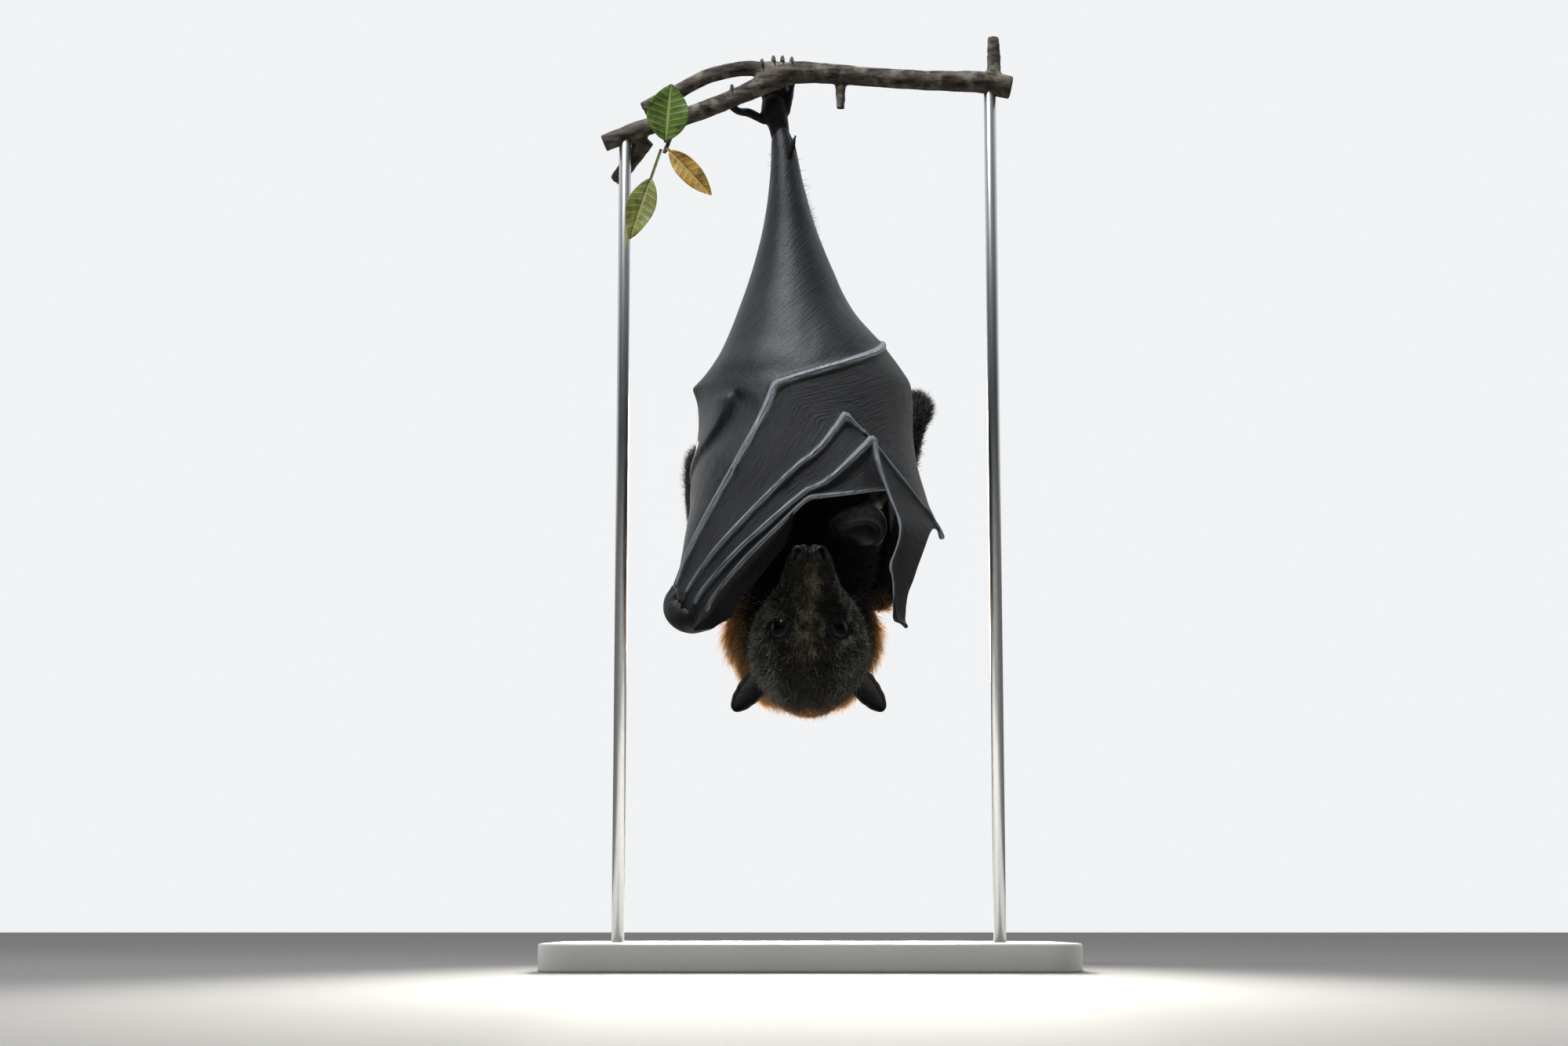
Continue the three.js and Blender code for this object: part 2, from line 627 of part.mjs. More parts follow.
// The right arm membrane hangs from the ankle, wraps the body's right side and ends on finger 5.
const RIGHT_BACK_LINE = [
  [-150, 270, 0], [-150, 240, 0], [-148, 207, 0], [-142, 178, -1.5], [-130, 156, -2], [-118, 141, 5],
  ...FOREARM.right.slice(1, 4).map(beside), beside([-56, -33, 57]),
];
const RIGHT_FREE_EDGE = [
  [78, 270, 0], [84, 246, 0], [84, 222, 0], [82, 200, 0], [80, 184, 0], front([34, 171, 0.2]),
  front([-14.5, 146, 0.6]), front([-32, 108, 0]), front([-55.5, 59, 0]),
];
const LEFT_BACK_LINE = [
  [134, 172, LEFT_LAYER], [126, 156, LEFT_LAYER + 2], [118, 143, 4],
  ...FOREARM.left.slice(1, 4).map(beside), beside([27, -34, 92]),
];
const LEFT_FREE_EDGE = [
  front([14, 181, LEFT_LAYER]), front([-20, 170, LEFT_LAYER]), [-87, 152, LEFT_LAYER],
  front([-37.6, 146, LEFT_LAYER]), front([18, 97, LEFT_LAYER]),
];

// Lower edge of the thumb's membrane, from the wrist up to finger 2.
const THUMB_EDGE = [
  front([-43, 38, -0.5]), front([-33, 40, -0.5]), front([-24, 50, -0.5]), front([-13, 70, -0.5]),
  front([-4, 84, -0.5]),
];

/** Lift of a membrane over the knuckles of the left wing. */
function tent(phi, z) {
  const bump = (atPhi, atZ, height, wide) =>
    height * Math.exp(-(((phi - atPhi) / wide) ** 2) - ((z - atZ) / 7) ** 2);
  return bump(-84, 151.5, 4.6, 13) + bump(-51, 146, 1.6, 12);
}

/** Flap between the upper arm and the forearm, whose outer face looks to the side. */
const frontFlap = (side) => {
  const sign = side === 'right' ? -1 : 1;
  const arm = UPPER_ARM[side].map((row) => row.slice(0, 3)).reverse();
  const fore = FOREARM[side].map((row) => row.slice(0, 3));
  return sheet((s, t, depth) => {
    const a = onChain(arm, lerp(0.22, 0.86, t));
    const b = onChain(fore, lerp(0.22, 0.9, t));
    const width = point(a).distanceTo(point(b));
    const share = lerp(Math.min(11.6 / width, 0.45), 1 - Math.min(6.6 / width, 0.4), s);
    const [x, y, z] = a.map((value, k) => lerp(value, b[k], share));
    const slack = 4 * s * (1 - s) * t * 4;
    return new THREE.Vector3(x - sign * (depth - 1.5), y, z + slack);
  }, 3, 4);
};

function makeWings() {
  Object.keys(FINGER).forEach((name) => {
    const [side, digit] = name.split('_');
    const next = `${side}_${Number(digit) + 1}`;
    const others = next in FINGER ? [fingerNode(next)] : [];
    piece(fingerNode(name), fingerShape(name), WING_SKIN, [`${side}_wrist`, `${side}_forearm`, ...others]);
  });
  const five = fingerChain('right_5');
  const four = fingerChain('right_4');
  const three = fingerChain('right_3');
  const two = fingerChain('right_2');
  const clear = { roomA: always(FINGER_ROOM), roomB: always(FINGER_ROOM) };
  const sheets = {
    right_arm_membrane: stretched(RIGHT_BACK_LINE, RIGHT_FREE_EDGE, {
      across: 8, down: 12, roomA: beforeAfter(0.4, 0, 6), roomB: beforeAfter(0.42, 0, FINGER_ROOM), settle: 3,
      raise: tent,
    }),
    right_membrane_5_4: stretched(partOf(five, 0.06, 1), partOf(four, 0.06, 1), {
      across: 4, down: 7, sag: 0.8, ...clear,
    }),
    right_membrane_4_3: stretched(partOf(four, 0.1, 0.6), partOf(three, 0.1, 0.42), {
      across: 3, down: 6, sag: 0.6, ...clear,
    }),
    right_membrane_tip: stretched(partOf(four, 0.72, 1), partOf(three, 0.56, 1), {
      across: 3, down: 5, ...clear,
    }),
    right_membrane_3_2: stretched(partOf(three, 0.1, 0.62), partOf(two, 0.1, 1), {
      across: 2, down: 6, sag: 0.4, ...clear,
    }),
    left_arm_membrane: stretched(LEFT_BACK_LINE, LEFT_FREE_EDGE, {
      across: 7, down: 7, roomA: beforeAfter(0.3, 0, 6), roomB: beforeAfter(0.5, 0, FINGER_ROOM), settle: 4,
      raise: (phi, z) => tent(phi, z) * 0.7,
    }),
    left_membrane_5_4: stretched(fingerChain('left_5'), fingerChain('left_4'), {
      across: 2, down: 4, ...clear,
    }),
    left_membrane_4_3: stretched(fingerChain('left_4'), fingerChain('left_3'), {
      across: 2, down: 4, ...clear,
    }),
    right_thumb_membrane: stretched(partOf(two, 0.06, 0.5), THUMB_EDGE, {
      across: 3, down: 5, roomA: always(FINGER_ROOM), roomB: always(0),
    }),
    right_front_flap: frontFlap('right'),
    left_front_flap: frontFlap('left'),
  };
  Object.entries(sheets).forEach(([name, make]) => {
    const side = name.split('_')[0];
    const bones = ['_wrist', '_forearm', '_upper_arm'].map((bone) => side + bone);
    const fingers = Object.keys(FINGER).filter((finger) => finger.startsWith(side) && !name.endsWith('flap'));
    const legs = ['right_foot', ...SIDES.flatMap(([leg]) => [`${leg}_thigh`, `${leg}_shank`])];
    const flesh = name.endsWith('arm_membrane') ? ['trunk', ...legs] : [];
    const inner = name.startsWith('left') ? [] : ['left_finger_5'];
    piece(name, make, WING_SKIN, [...bones, ...fingers.map(fingerNode), ...flesh, ...inner]);
  });
}

// ---------------------------------------------------------------- branch and stand

const BRANCH = [
  [-95, 0, 267.3, 4], [-76.8, 0, 274.6, 4.3], [-58.6, 0, 279.6, 4.2], [-40.3, 0, 286.8, 4.3],
  [-26, 0, 293, 4.5], [-16, 0, 298.8, 5.6], [-6, 0, 301.4, 5.4], [10, 0, 301, 4.7],
  [25.6, 0, 299.6, 4.7], [43.9, 0, 298.4, 4.7], [62.2, 0, 297.6, 4.8], [80.5, 0, 297, 5.3],
  [95.2, 0, 294.2, 5.4],
];
const SIDE_BRANCH = [
  [-5, 0.5, 301.6, 4.6], [-20, 1, 303.6, 3.8], [-33.1, 2, 303.8, 3.6], [-47.7, 3, 300.4, 3.6],
  [-62.3, 3, 292.4, 3.6], [-76.9, 3, 284.6, 3.8],
];
const STUBS = [
  [[15.3, 0, 297, 3], [15.3, 0, 284, 2]],
  [[87, 0, 297, 3.4], [87, 0, 319, 2.8]],
  [[-75, 2, 270, 4.2], [-90, 12, 252.5, 3.4]],
  [[-61, -1, 278, 1.8], [-66, -5.6, 265, 1.1]],
];

/** Branch with its fork, three cut stubs and the twig that bears the leaves. */
const branchShape = (grow = 0) => {
  let whole = solid(limb(BRANCH, { steps: 11, sides: 6 })(grow));
  whole = whole.add(solid(limb(SIDE_BRANCH, { steps: 6, sides: 6 })(grow)));
  STUBS.forEach((stub) => {
    whole = whole.add(solid(limb(stub, { steps: 1, sides: 6 })(grow)));
  });
  return geometryOf(whole);
};

/** Height of the branch's middle at a place along it. */
function branchHeight(x) {
  return along(BRANCH.map(([at, , z]) => [at, z]), 1, x);
}

/** Rod from the base's socket into the branch; its own neighbours leave a clearance round it. */
const rodShape = (side) => (grow = 0) => {
  const x = side * ROD.spacing;
  const bottom = -CROWN_CLEARANCE - ROD.foot - grow;
  const top = branchHeight(x) + grow;
  const rod = new THREE.CylinderGeometry(ROD.radius + grow, ROD.radius + grow, top - bottom, 12);
  rod.rotateX(Math.PI / 2);
  return rod.translate(x, 0, (top + bottom) / 2);
};

/** Rounded plate whose underside is the lowest face. */
const baseShape = () => {
  const { width, depth, thickness, corner, bevel } = BASE;
  const x = width / 2 - bevel;
  const y = depth / 2 - bevel;
  const outline = new THREE.Shape();
  outline.moveTo(-x + corner, -y);
  outline.lineTo(x - corner, -y);
  outline.quadraticCurveTo(x, -y, x, -y + corner);
  outline.lineTo(x, y - corner);
  outline.quadraticCurveTo(x, y, x - corner, y);
  outline.lineTo(-x + corner, y);
  outline.quadraticCurveTo(-x, y, -x, y - corner);
  outline.lineTo(-x, -y + corner);
  outline.quadraticCurveTo(-x, -y, -x + corner, -y);
  const plate = new THREE.ExtrudeGeometry(outline, {
    depth: thickness - 2 * bevel,
    bevelThickness: bevel,
    bevelSize: bevel,
    bevelSegments: 1,
    curveSegments: 3,
  });
  return plate.translate(0, 0, bevel - LIFT);
};

// Leaves: where the stalk starts, where the tip ends, the half width and the stalk's share of the blade.
const LEAVES = {
  leaf_round: { start: [-66, -7.4, 265.6], end: [-63.5, -9.5, 293], half: 9.8, stalk: 0.04 },
  leaf_yellow: { start: [-65, -7.6, 262.6], end: [-44.5, -9, 240], half: 5.2, stalk: 0.06 },
  leaf_long: { start: [-68, -5.6, 263], end: [-82, -8, 219.5], half: 6.6, stalk: 0.34 },
};

/** Leaf blade: a thin pointed oval with a little curl, on a slim stalk. */
const leafShape = ({ start, end, half, stalk }) => (grow = 0) => {
  const from = point(start);
  const to = point(end);
  const ahead = to.clone().sub(from);
  const wide = new THREE.Vector3(ahead.z, 0, -ahead.x).normalize();
  const rings = [-stalk, 0, 0.14, 0.3, 0.5, 0.7, 0.86, 1].map((blade) => {
    const t = (blade + stalk) / (1 + stalk);
    const reach = half * Math.max(Math.sin(Math.PI * Math.max(blade, 0) ** 0.85), 0) ** 0.8 + 0.4;
    const middle = from.clone().lerp(to, t);
    middle.y -= 2 * Math.sin(Math.PI * t);
    const rib = (across, thick) => middle.clone()
      .addScaledVector(wide, across * (reach + grow))
      .add(new THREE.Vector3(0, thick * (0.5 + grow) + Math.abs(across) * 1.2, 0));
    return [rib(-1, -1), rib(0, -1), rib(1, -1), rib(1, 1), rib(0, 1), rib(-1, 1)];
  });
  return loft(rings);
};

function makeBranch() {
  piece('stand_rod_right', rodShape(-1), STEEL);
  piece('stand_rod_left', rodShape(1), STEEL);
  piece('stand_base', baseShape, BASE_PAINT, ['stand_rod_right', 'stand_rod_left']);
  piece('perch', branchShape, BARK, ['stand_rod_right', 'stand_rod_left']);
  Object.entries(LEAVES).forEach(([name, leaf]) => {
    piece(name, leafShape(leaf), LEAF, ['perch']);
  });
}

// ---------------------------------------------------------------- the whole object

makeBranch();
makeHead();
makeBody();
makeWings();
const CUTTERS = { jaw_block: jawBlock, neck_block: body(NECK) };
Object.entries(CUTTERS).forEach(([name, make]) => makers.set(name, { make, neighbours: [] }));

const roost = new THREE.Group();
roost.position.z = LIFT;
makers.forEach((_, name) => {
  if (name in CUTTERS) {
    return;
  }
  roost.add(meshOf(name));
});

export default roost;
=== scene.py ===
# %% [markdown]
# # A flying-fox asleep on its perch
# The real animal is a grey-headed flying-fox that hangs by one foot, wrapped in its own wings. The packed
# model already holds every solid at life size. Blender adds what a solid can't show: one skin under the
# coat, thin wing membranes with the finger bones under them, wet eyes, and fur. This first cell loads that
# model.

# %% The imported model
import math

import bpy
import numpy as np
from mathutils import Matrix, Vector


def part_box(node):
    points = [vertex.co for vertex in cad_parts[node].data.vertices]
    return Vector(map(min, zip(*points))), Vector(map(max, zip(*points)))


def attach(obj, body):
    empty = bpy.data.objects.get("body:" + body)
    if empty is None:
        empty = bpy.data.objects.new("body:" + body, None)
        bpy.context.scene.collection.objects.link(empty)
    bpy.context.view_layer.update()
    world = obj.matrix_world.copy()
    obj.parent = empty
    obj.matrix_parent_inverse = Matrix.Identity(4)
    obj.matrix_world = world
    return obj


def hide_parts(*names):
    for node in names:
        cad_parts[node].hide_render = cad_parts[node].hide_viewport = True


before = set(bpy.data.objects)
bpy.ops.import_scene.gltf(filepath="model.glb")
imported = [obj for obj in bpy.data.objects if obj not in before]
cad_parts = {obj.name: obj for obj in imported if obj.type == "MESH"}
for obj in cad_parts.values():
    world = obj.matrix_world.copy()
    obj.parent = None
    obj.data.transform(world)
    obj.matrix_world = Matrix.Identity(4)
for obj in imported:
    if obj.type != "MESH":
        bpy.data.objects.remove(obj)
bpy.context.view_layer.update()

# %% [markdown]
# ## Units and places
# Shapes are worked out in millimetres, because an animal's sizes are known that way, and turned to metres
# only when a mesh is made. Heights are counted from the lowest fur of the crown, which hangs
# `CROWN_CLEARANCE` above the top of the base.

# %% Units, colours and random numbers
MM = 0.001
CROWN_CLEARANCE = 100
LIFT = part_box("stand_base")[1].z / MM + CROWN_CLEARANCE
RIGHT, LEFT = -1, 1
SIDES = {"right": RIGHT, "left": LEFT}
rng = np.random.default_rng(7)


def linear(code):
    """Linear RGBA of an sRGB hex code: each channel c becomes ((c + 0.055) / 1.055) to the power 2.4. A plain
    number is a grey that is linear already."""
    if not isinstance(code, str):
        return (code, code, code, 1.0)
    channels = [int(code[i:i + 2], 16) / 255 for i in (1, 3, 5)]
    return (*[((c + 0.055) / 1.055) ** 2.4 if c > 0.04045 else c / 12.92 for c in channels], 1.0)


def tint(code):
    """The same colour as an array of three numbers."""
    return np.array(linear(code)[:3])


def unit(v):
    """Each vector divided by its own length."""
    return v / np.maximum(np.linalg.norm(v, axis=-1, keepdims=True), 1e-12)


def step(low, high, at):
    """0 below low, 1 above high, and the smooth curve 3t^2 - 2t^3 between them."""
    t = np.clip((at - low) / (high - low), 0, 1)
    return t * t * (3 - 2 * t)


def mix(a, b, share):
    """a where share is 0, b where it is 1, in a straight line between."""
    return a + (b - a) * share


def bell(at, width, sharp=2):
    """A hump of height 1 round 0: e to the power of -(at / width)^sharp."""
    return np.exp(-(at / width) ** sharp)


def full_turn(count):
    """Angles that are evenly spaced round a circle."""
    return np.linspace(0, 2 * np.pi, count, endpoint=False)


def split(values):
    """The last axis of an array as separate arrays: x, y and z of points, or the columns of a table."""
    return np.moveaxis(values, -1, 0)


def body_place(points):
    """x, y and the height above the crown's lowest fur."""
    x, y, z = split(points)
    return x, y, z - LIFT


# %% [markdown]
# ## Tables and noise
# A body is easiest to describe by a few sections, with smooth curves between them. `smooth_table` is that:
# a cubic between neighbouring rows, whose slope at each row is that of the rows on its two sides. Skin and
# bark also need irregularity that is the same on every run, so `noise` works it out from the place alone.

# %% Smooth tables and noise
def smooth_table(rows, at):
    """All columns of a table at places along its rising first column, as a cubic between the rows."""
    x = rows[:, 0]
    at = np.clip(at, x[0], x[-1])
    i = np.clip(np.searchsorted(x, at) - 1, 0, len(x) - 2)
    before = np.maximum(np.arange(len(x)) - 1, 0)
    after = np.minimum(np.arange(len(x)) + 1, len(x) - 1)
    slope = (rows[after] - rows[before]) / (x[after] - x[before])[:, None]
    span = (x[i + 1] - x[i])[..., None]
    t = (at - x[i])[..., None] / span
    rise = rows[i + 1] - rows[i]
    bend = (1 - t) * (slope[i] * span - rise) - t * (slope[i + 1] * span - rise)
    return rows[i] + t * rise + t * (1 - t) * bend


def along(rows, share):
    """Points at 0 to 1 of the length of a chain of straight lines through rows."""
    rows = np.asarray(rows, float)
    lengths = np.linalg.norm(np.diff(rows, axis=0), axis=1)
    reached = np.concatenate([[0], np.cumsum(lengths)]) / lengths.sum()
    return np.stack([np.interp(share, reached, column) for column in rows.T], axis=-1)


def curve(rows, share):
    """Points of a smooth curve through rows: the rows are evenly spaced in its parameter."""
    rows = np.asarray(rows, float)
    spots = np.linspace(0, 1, len(rows))
    return smooth_table(np.column_stack([spots, rows]), np.asarray(share, float))[..., 1:]


def noise(points, size, seed=0):
    """Value noise from -1 to 1: a random number at each corner of a lattice of cells of the given size,
    blended smoothly across each cell."""
    grid = points / size
    cell = np.floor(grid).astype(np.int64)
    part = grid - cell
    part = part * part * (3 - 2 * part)
    total = np.zeros(points.shape[:-1])
    for corner in np.ndindex(2, 2, 2):
        key = cell + corner
        mixed = key[..., 0] * 73856093 ^ key[..., 1] * 19349663 ^ key[..., 2] * 83492791 ^ seed * 2654435761
        mixed = (mixed ^ (mixed >> 13)) * 1274126177 & 0x7FFFFFFF
        value = (mixed ^ (mixed >> 16)) % 65536 / 32767.5 - 1
        weight = np.prod(np.where(corner, part, 1 - part), axis=-1)
        total += value * weight
    return total


# %% [markdown]
# ## From arrays to meshes
# A surface here is a grid of points: one parameter runs along it and the other across or round it. The two
# helpers below give the grid its faces and put arrays straight into a mesh, so that no loop runs over
# vertices.

# %% Mesh helpers
def grid_faces(rows, columns, closed=False, start=0):
    """Quads of a grid of rows times columns points. A closed grid joins its last column to its first."""
    across = columns if closed else columns - 1
    i, j = np.meshgrid(np.arange(rows - 1), np.arange(across), indexing="ij")
    a = i * columns + j
    b = i * columns + (j + 1) % columns
    return start + np.stack([a, b, b + columns, a + columns], axis=-1).reshape(-1, 4)


def build_mesh(name, points, quads=(), triangles=()):
    """Mesh from points in millimetres, with its quads and triangles."""
    mesh = bpy.data.meshes.new(name)
    quads = np.asarray(quads, np.int32).reshape(-1, 4)
    triangles = np.asarray(triangles, np.int32).reshape(-1, 3)
    mesh.vertices.add(len(points))
    mesh.vertices.foreach_set("co", (points * MM).astype(np.float32).ravel())
    corners = np.concatenate([quads.ravel(), triangles.ravel()])
    sizes = np.concatenate([np.full(len(quads), 4), np.full(len(triangles), 3)])
    mesh.loops.add(len(corners))
    mesh.loops.foreach_set("vertex_index", corners)
    mesh.polygons.add(len(sizes))
    mesh.polygons.foreach_set("loop_start", np.concatenate([[0], np.cumsum(sizes)[:-1]]).astype(np.int32))
    mesh.polygons.foreach_set("use_smooth", np.ones(len(sizes), bool))
    mesh.update(calc_edges=True)
    return mesh


def make_piece(name, mesh, material=None):
    """Object for a mesh, linked to the scene, that rides on the one body."""
    piece = bpy.data.objects.new(name, mesh)
    bpy.context.scene.collection.objects.link(piece)
    if material:
        mesh.materials.append(material)
    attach(piece, "root")
    return piece


def read(collection, attribute, width, kind=np.float32):
    """Array of a vertex, loop or polygon attribute."""
    values = np.zeros(len(collection) * width, kind)
    collection.foreach_get(attribute, values)
    return values.reshape(-1, width) if width > 1 else values


def distance_to(points, places):
    """Distance of each point from the nearest of some places."""
    return np.linalg.norm(points[..., None, :] - places, axis=-1).min(axis=-1)


def store_color(mesh, name, colors):
    """Gives each point of a mesh a colour, under a name that a material reads."""
    values = np.concatenate([colors, np.ones((len(colors), 1))], axis=1)
    layer = mesh.color_attributes.new(name, "FLOAT_COLOR", "POINT")
    layer.data.foreach_set("color", values.astype(np.float32).ravel())


def store_value(mesh, name, values):
    """Gives each point of a mesh a number, under a name that a material reads."""
    layer = mesh.attributes.new(name, "FLOAT", "POINT")
    layer.data.foreach_set("value", values.astype(np.float32))


def store_uv(mesh, name, places):
    """Uv map of a mesh, from one place for each point."""
    corners = read(mesh.loops, "vertex_index", 1, np.int32)
    layer = mesh.uv_layers.new(name=name)
    layer.data.foreach_set("uv", places[corners].astype(np.float32).ravel())


def join_parts(parts):
    """Points and faces of several (points, quads, triangles) put into one list of each."""
    points, quads, triangles, start = [], [], [], 0
    for part_points, part_quads, part_triangles in parts:
        points.append(part_points.reshape(-1, 3))
        quads.append(np.asarray(part_quads, np.int64).reshape(-1, 4) + start)
        triangles.append(np.asarray(part_triangles, np.int64).reshape(-1, 3) + start)
        start += len(points[-1])
    return np.concatenate(points), np.concatenate(quads), np.concatenate(triangles)


def outward(points, quads):
    """Quads of a closed shape, turned round where its volume comes out negative."""
    a, b, c, d = (points[quads[:, k]] for k in range(4))
    volume = np.einsum("ij,ij->", a, np.cross(b, c)) + np.einsum("ij,ij->", a, np.cross(c, d))
    return quads[:, ::-1] if volume < 0 else quads


THINNEST, CAP_RINGS = 0.4, 5


def closed_rings(rings):
    """Closed shape through an array of rings, whose ends draw in to the middle of the first and last."""
    first = rings[:1].mean(axis=1, keepdims=True)
    last = rings[-1:].mean(axis=1, keepdims=True)
    whole = np.concatenate([first + (rings[:1] - first) * 0.02, rings, last + (rings[-1:] - last) * 0.02])
    points = whole.reshape(-1, 3)
    return points, outward(points, grid_faces(*whole.shape[:2], closed=True)), []


def frames_along(path):
    """Two directions square to a path at each of its points, turned as little as possible along it."""
    ahead = unit(np.gradient(path, axis=0))
    start = np.cross(ahead[0], [0.0, 0.0, 1.0])
    if np.linalg.norm(start) < 0.1:
        start = np.cross(ahead[0], [0.0, 1.0, 0.0])
    side = [unit(start)]
    for tangent in ahead[1:]:
        side.append(unit(side[-1] - tangent * (side[-1] @ tangent)))
    side = np.array(side)
    return side, np.cross(ahead, side)


def circles(path, sides):
    """Circles of radius 1 square to a path at each of its points: side * cos(turn) + other * sin(turn)."""
    side, other = frames_along(path)
    turn = full_turn(sides)[None, :, None]
    return side[:, None] * np.cos(turn) + other[:, None] * np.sin(turn)


def limb(stations, steps=24, sides=20, shrink=0.0, wide=1.0):
    """Round-ended tube through stations of x, y, height and radius. Its radius, less shrink, follows a
    circle's arc over the rings of each end cap, and wide stretches it in x."""
    rows = curve(stations, np.linspace(0, 1, steps))
    path, radius = rows[:, :3], np.maximum(rows[:, 3] - shrink, THINNEST)
    ahead = unit(np.gradient(path, axis=0))
    bend = np.linspace(0.08, 1, CAP_RINGS + 1)[:-1] * np.pi / 2
    reach = np.concatenate([-np.cos(bend), np.zeros(steps), np.cos(bend[::-1])])
    scale = np.concatenate([np.sin(bend), np.ones(steps), np.sin(bend[::-1])])
    at = np.pad(np.arange(steps), CAP_RINGS, mode="edge")
    centre = path[at] + ahead[at] * (reach * radius[at])[:, None]
    offset = circles(path, sides)[at] * (scale * radius[at])[:, None, None]
    offset[..., 0] *= wide
    return closed_rings(centre[:, None] + offset + [0, 0, LIFT])


# %% [markdown]
# ## Node materials
# Every finish below is a handful of shader nodes. `add_node` makes one node, gives it its settings and
# links its inputs, so that a material reads like a short recipe. Patterns take their scale from real sizes:
# `per(mm)` is the texture scale that makes one cell that many millimetres wide. `MULTIPLY` is the setting
# of a Mix node that darkens one colour by another.

# %% Material helpers
MULTIPLY = dict(data_type="RGBA", blend_type="MULTIPLY")


def new_material(name, color, roughness, **settings):
    """Material with a Principled shader, whose other sockets come from settings."""
    material = bpy.data.materials.new(name)
    material.use_nodes = True
    material.node_tree.nodes.clear()
    sockets = {socket.replace("_", " "): value for socket, value in settings.items()}
    shader = add_node(material, "BsdfPrincipled", {"Base Color": color, "Roughness": roughness, **sockets})
    add_node(material, "OutputMaterial", {"Surface": shader})
    return material, shader


def add_node(owner, kind, inputs=None, stops=(), **settings):
    """New node of a material or a world: settings are its properties, inputs go to connect, and stops are
    the places and colours of a ramp, which starts with two and is given the others first."""
    node = owner.node_tree.nodes.new("ShaderNode" + kind)
    for key, value in settings.items():
        setattr(node, key, value)
    if stops:
        elements = node.color_ramp.elements
        for place, _ in stops[2:]:
            elements.new(place)
        for element, (place, code) in zip(elements, stops):
            element.position = place
            element.color = code if isinstance(code, tuple) else linear(code)
    connect(node, inputs or {})
    return node


def connect(node, inputs):
    """Gives a node its inputs: a value is set, a hex code is turned to linear, and an output is linked. A
    node stands for its own result."""
    for key, value in inputs.items():
        if isinstance(value, bpy.types.Node):
            value = value.outputs[2 if getattr(value, "data_type", None) == "RGBA" else 0]
        if isinstance(value, bpy.types.NodeSocket):
            node.id_data.links.new(value, node.inputs[key])
        else:
            node.inputs[key].default_value = linear(value) if isinstance(value, str) else value


def per(mm):
    """Texture scale for cells of that many millimetres, in metres of object space."""
    return 1 / (mm * MM)


def object_place(material, scale=(1, 1, 1)):
    """Object coordinates, stretched by a scale."""
    place = add_node(material, "TexCoord").outputs["Object"]
    return add_node(material, "Mapping", {"Vector": place, "Scale": scale})


# %% [markdown]
# ## The wrapped bundle
# Asleep, the animal is a smooth bundle. Everything on its outside lies on one surface, so a place on it is
# given by an angle round it, a height and a lift off it. The table lists the bundle's level sections:
# height, left and right edge, front, back, the middle's depth, and how boxy the section is.

# %% The bundle's surface
BUNDLE = np.array([
    [20, -60, 44, -50, 36, -8, 0.5], [36, -63, 46, -54, 42, -8, 0.5], [47, -64, 50, -55, 46, -8, 0.52],
    [60, -61.5, 56, -54.5, 52, -6, 0.56], [78, -58.5, 61.5, -53, 57, -3, 0.65],
    [94, -55.5, 56.5, -50, 60, 0, 0.75], [111, -53, 52.5, -47, 60, 4, 0.85],
    [128, -49.5, 51, -42, 58, 7, 0.95], [142, -48, 50.8, -38, 55, 8, 1], [152, -47.2, 49.5, -34, 52, 8, 1],
    [160, -45.5, 44.5, -31, 49, 8, 1], [171, -40.1, 36, -26, 45, 8, 1], [188, -32.9, 21.5, -19, 38, 8, 1],
    [207, -26.3, 12.4, -12, 30, 8, 1], [227, -21.2, 4.2, -6, 23, 8, 1], [246, -18.4, -1.2, -2, 18, 8, 1],
    [262, -17.8, -4, 1, 15, 8, 1], [274, -18.6, -5.6, 2, 13.5, 8, 1],
])


def power(value, exponent):
    """value to an exponent, with its sign kept."""
    return np.sign(value) * np.abs(value) ** exponent


def on_bundle(phi, height, lift):
    """Points of the bundle: phi degrees round from the front, +90 at the right edge, and lift outwards.
    A section is half * sin(phi)^box across and reach * cos(phi)^box deep."""
    _, left, right, near, far, middle, box = split(smooth_table(BUNDLE, height))
    sine, cosine = np.sin(np.radians(phi)), np.cos(np.radians(phi))
    reach = np.where(cosine > 0, middle - near, far - middle)
    x = (left + right) / 2 + ((right - left) / 2 + lift) * power(sine, box)
    y = middle - (reach + lift) * power(cosine, box)
    return np.stack([x, y, height + LIFT], axis=-1)


def front(x, height, lift):
    """Angle, height and lift of a point on the front, given as x, height and lift."""
    _, left, right, _, _, _, box = smooth_table(BUNDLE, np.float64(height))
    across = np.clip((x - (left + right) / 2) / ((right - left) / 2 + lift), -1, 1)
    return [math.degrees(math.asin(power(across, 1 / box))), height, lift]


def beside(x, y, height):
    """Angle, height and lift of any point beside the bundle, found by moving the lift until it fits."""
    _, left, right, near, far, middle, box = smooth_table(BUNDLE, np.float64(height))
    reach = middle - near if y < middle else far - middle
    lift = 0
    for _ in range(8):
        across = power((x - (left + right) / 2) / ((right - left) / 2 + lift), 1 / box)
        forward = power((middle - y) / (reach + lift), 1 / box)
        lift += (math.hypot(across, forward) ** box - 1) * ((right - left) / 2 + reach) / 2
    return [math.degrees(math.atan2(across, forward)), height, lift]


# %% [markdown]
# ## Legs and arms
# Each limb is a few stations of x, y, height and radius out to the tips of its fur. The right foot grips
# the branch. The left leg is tucked under the wings. Both arms fold back at the elbow, so that each
# forearm runs forward along the bundle to a wrist beside the head.

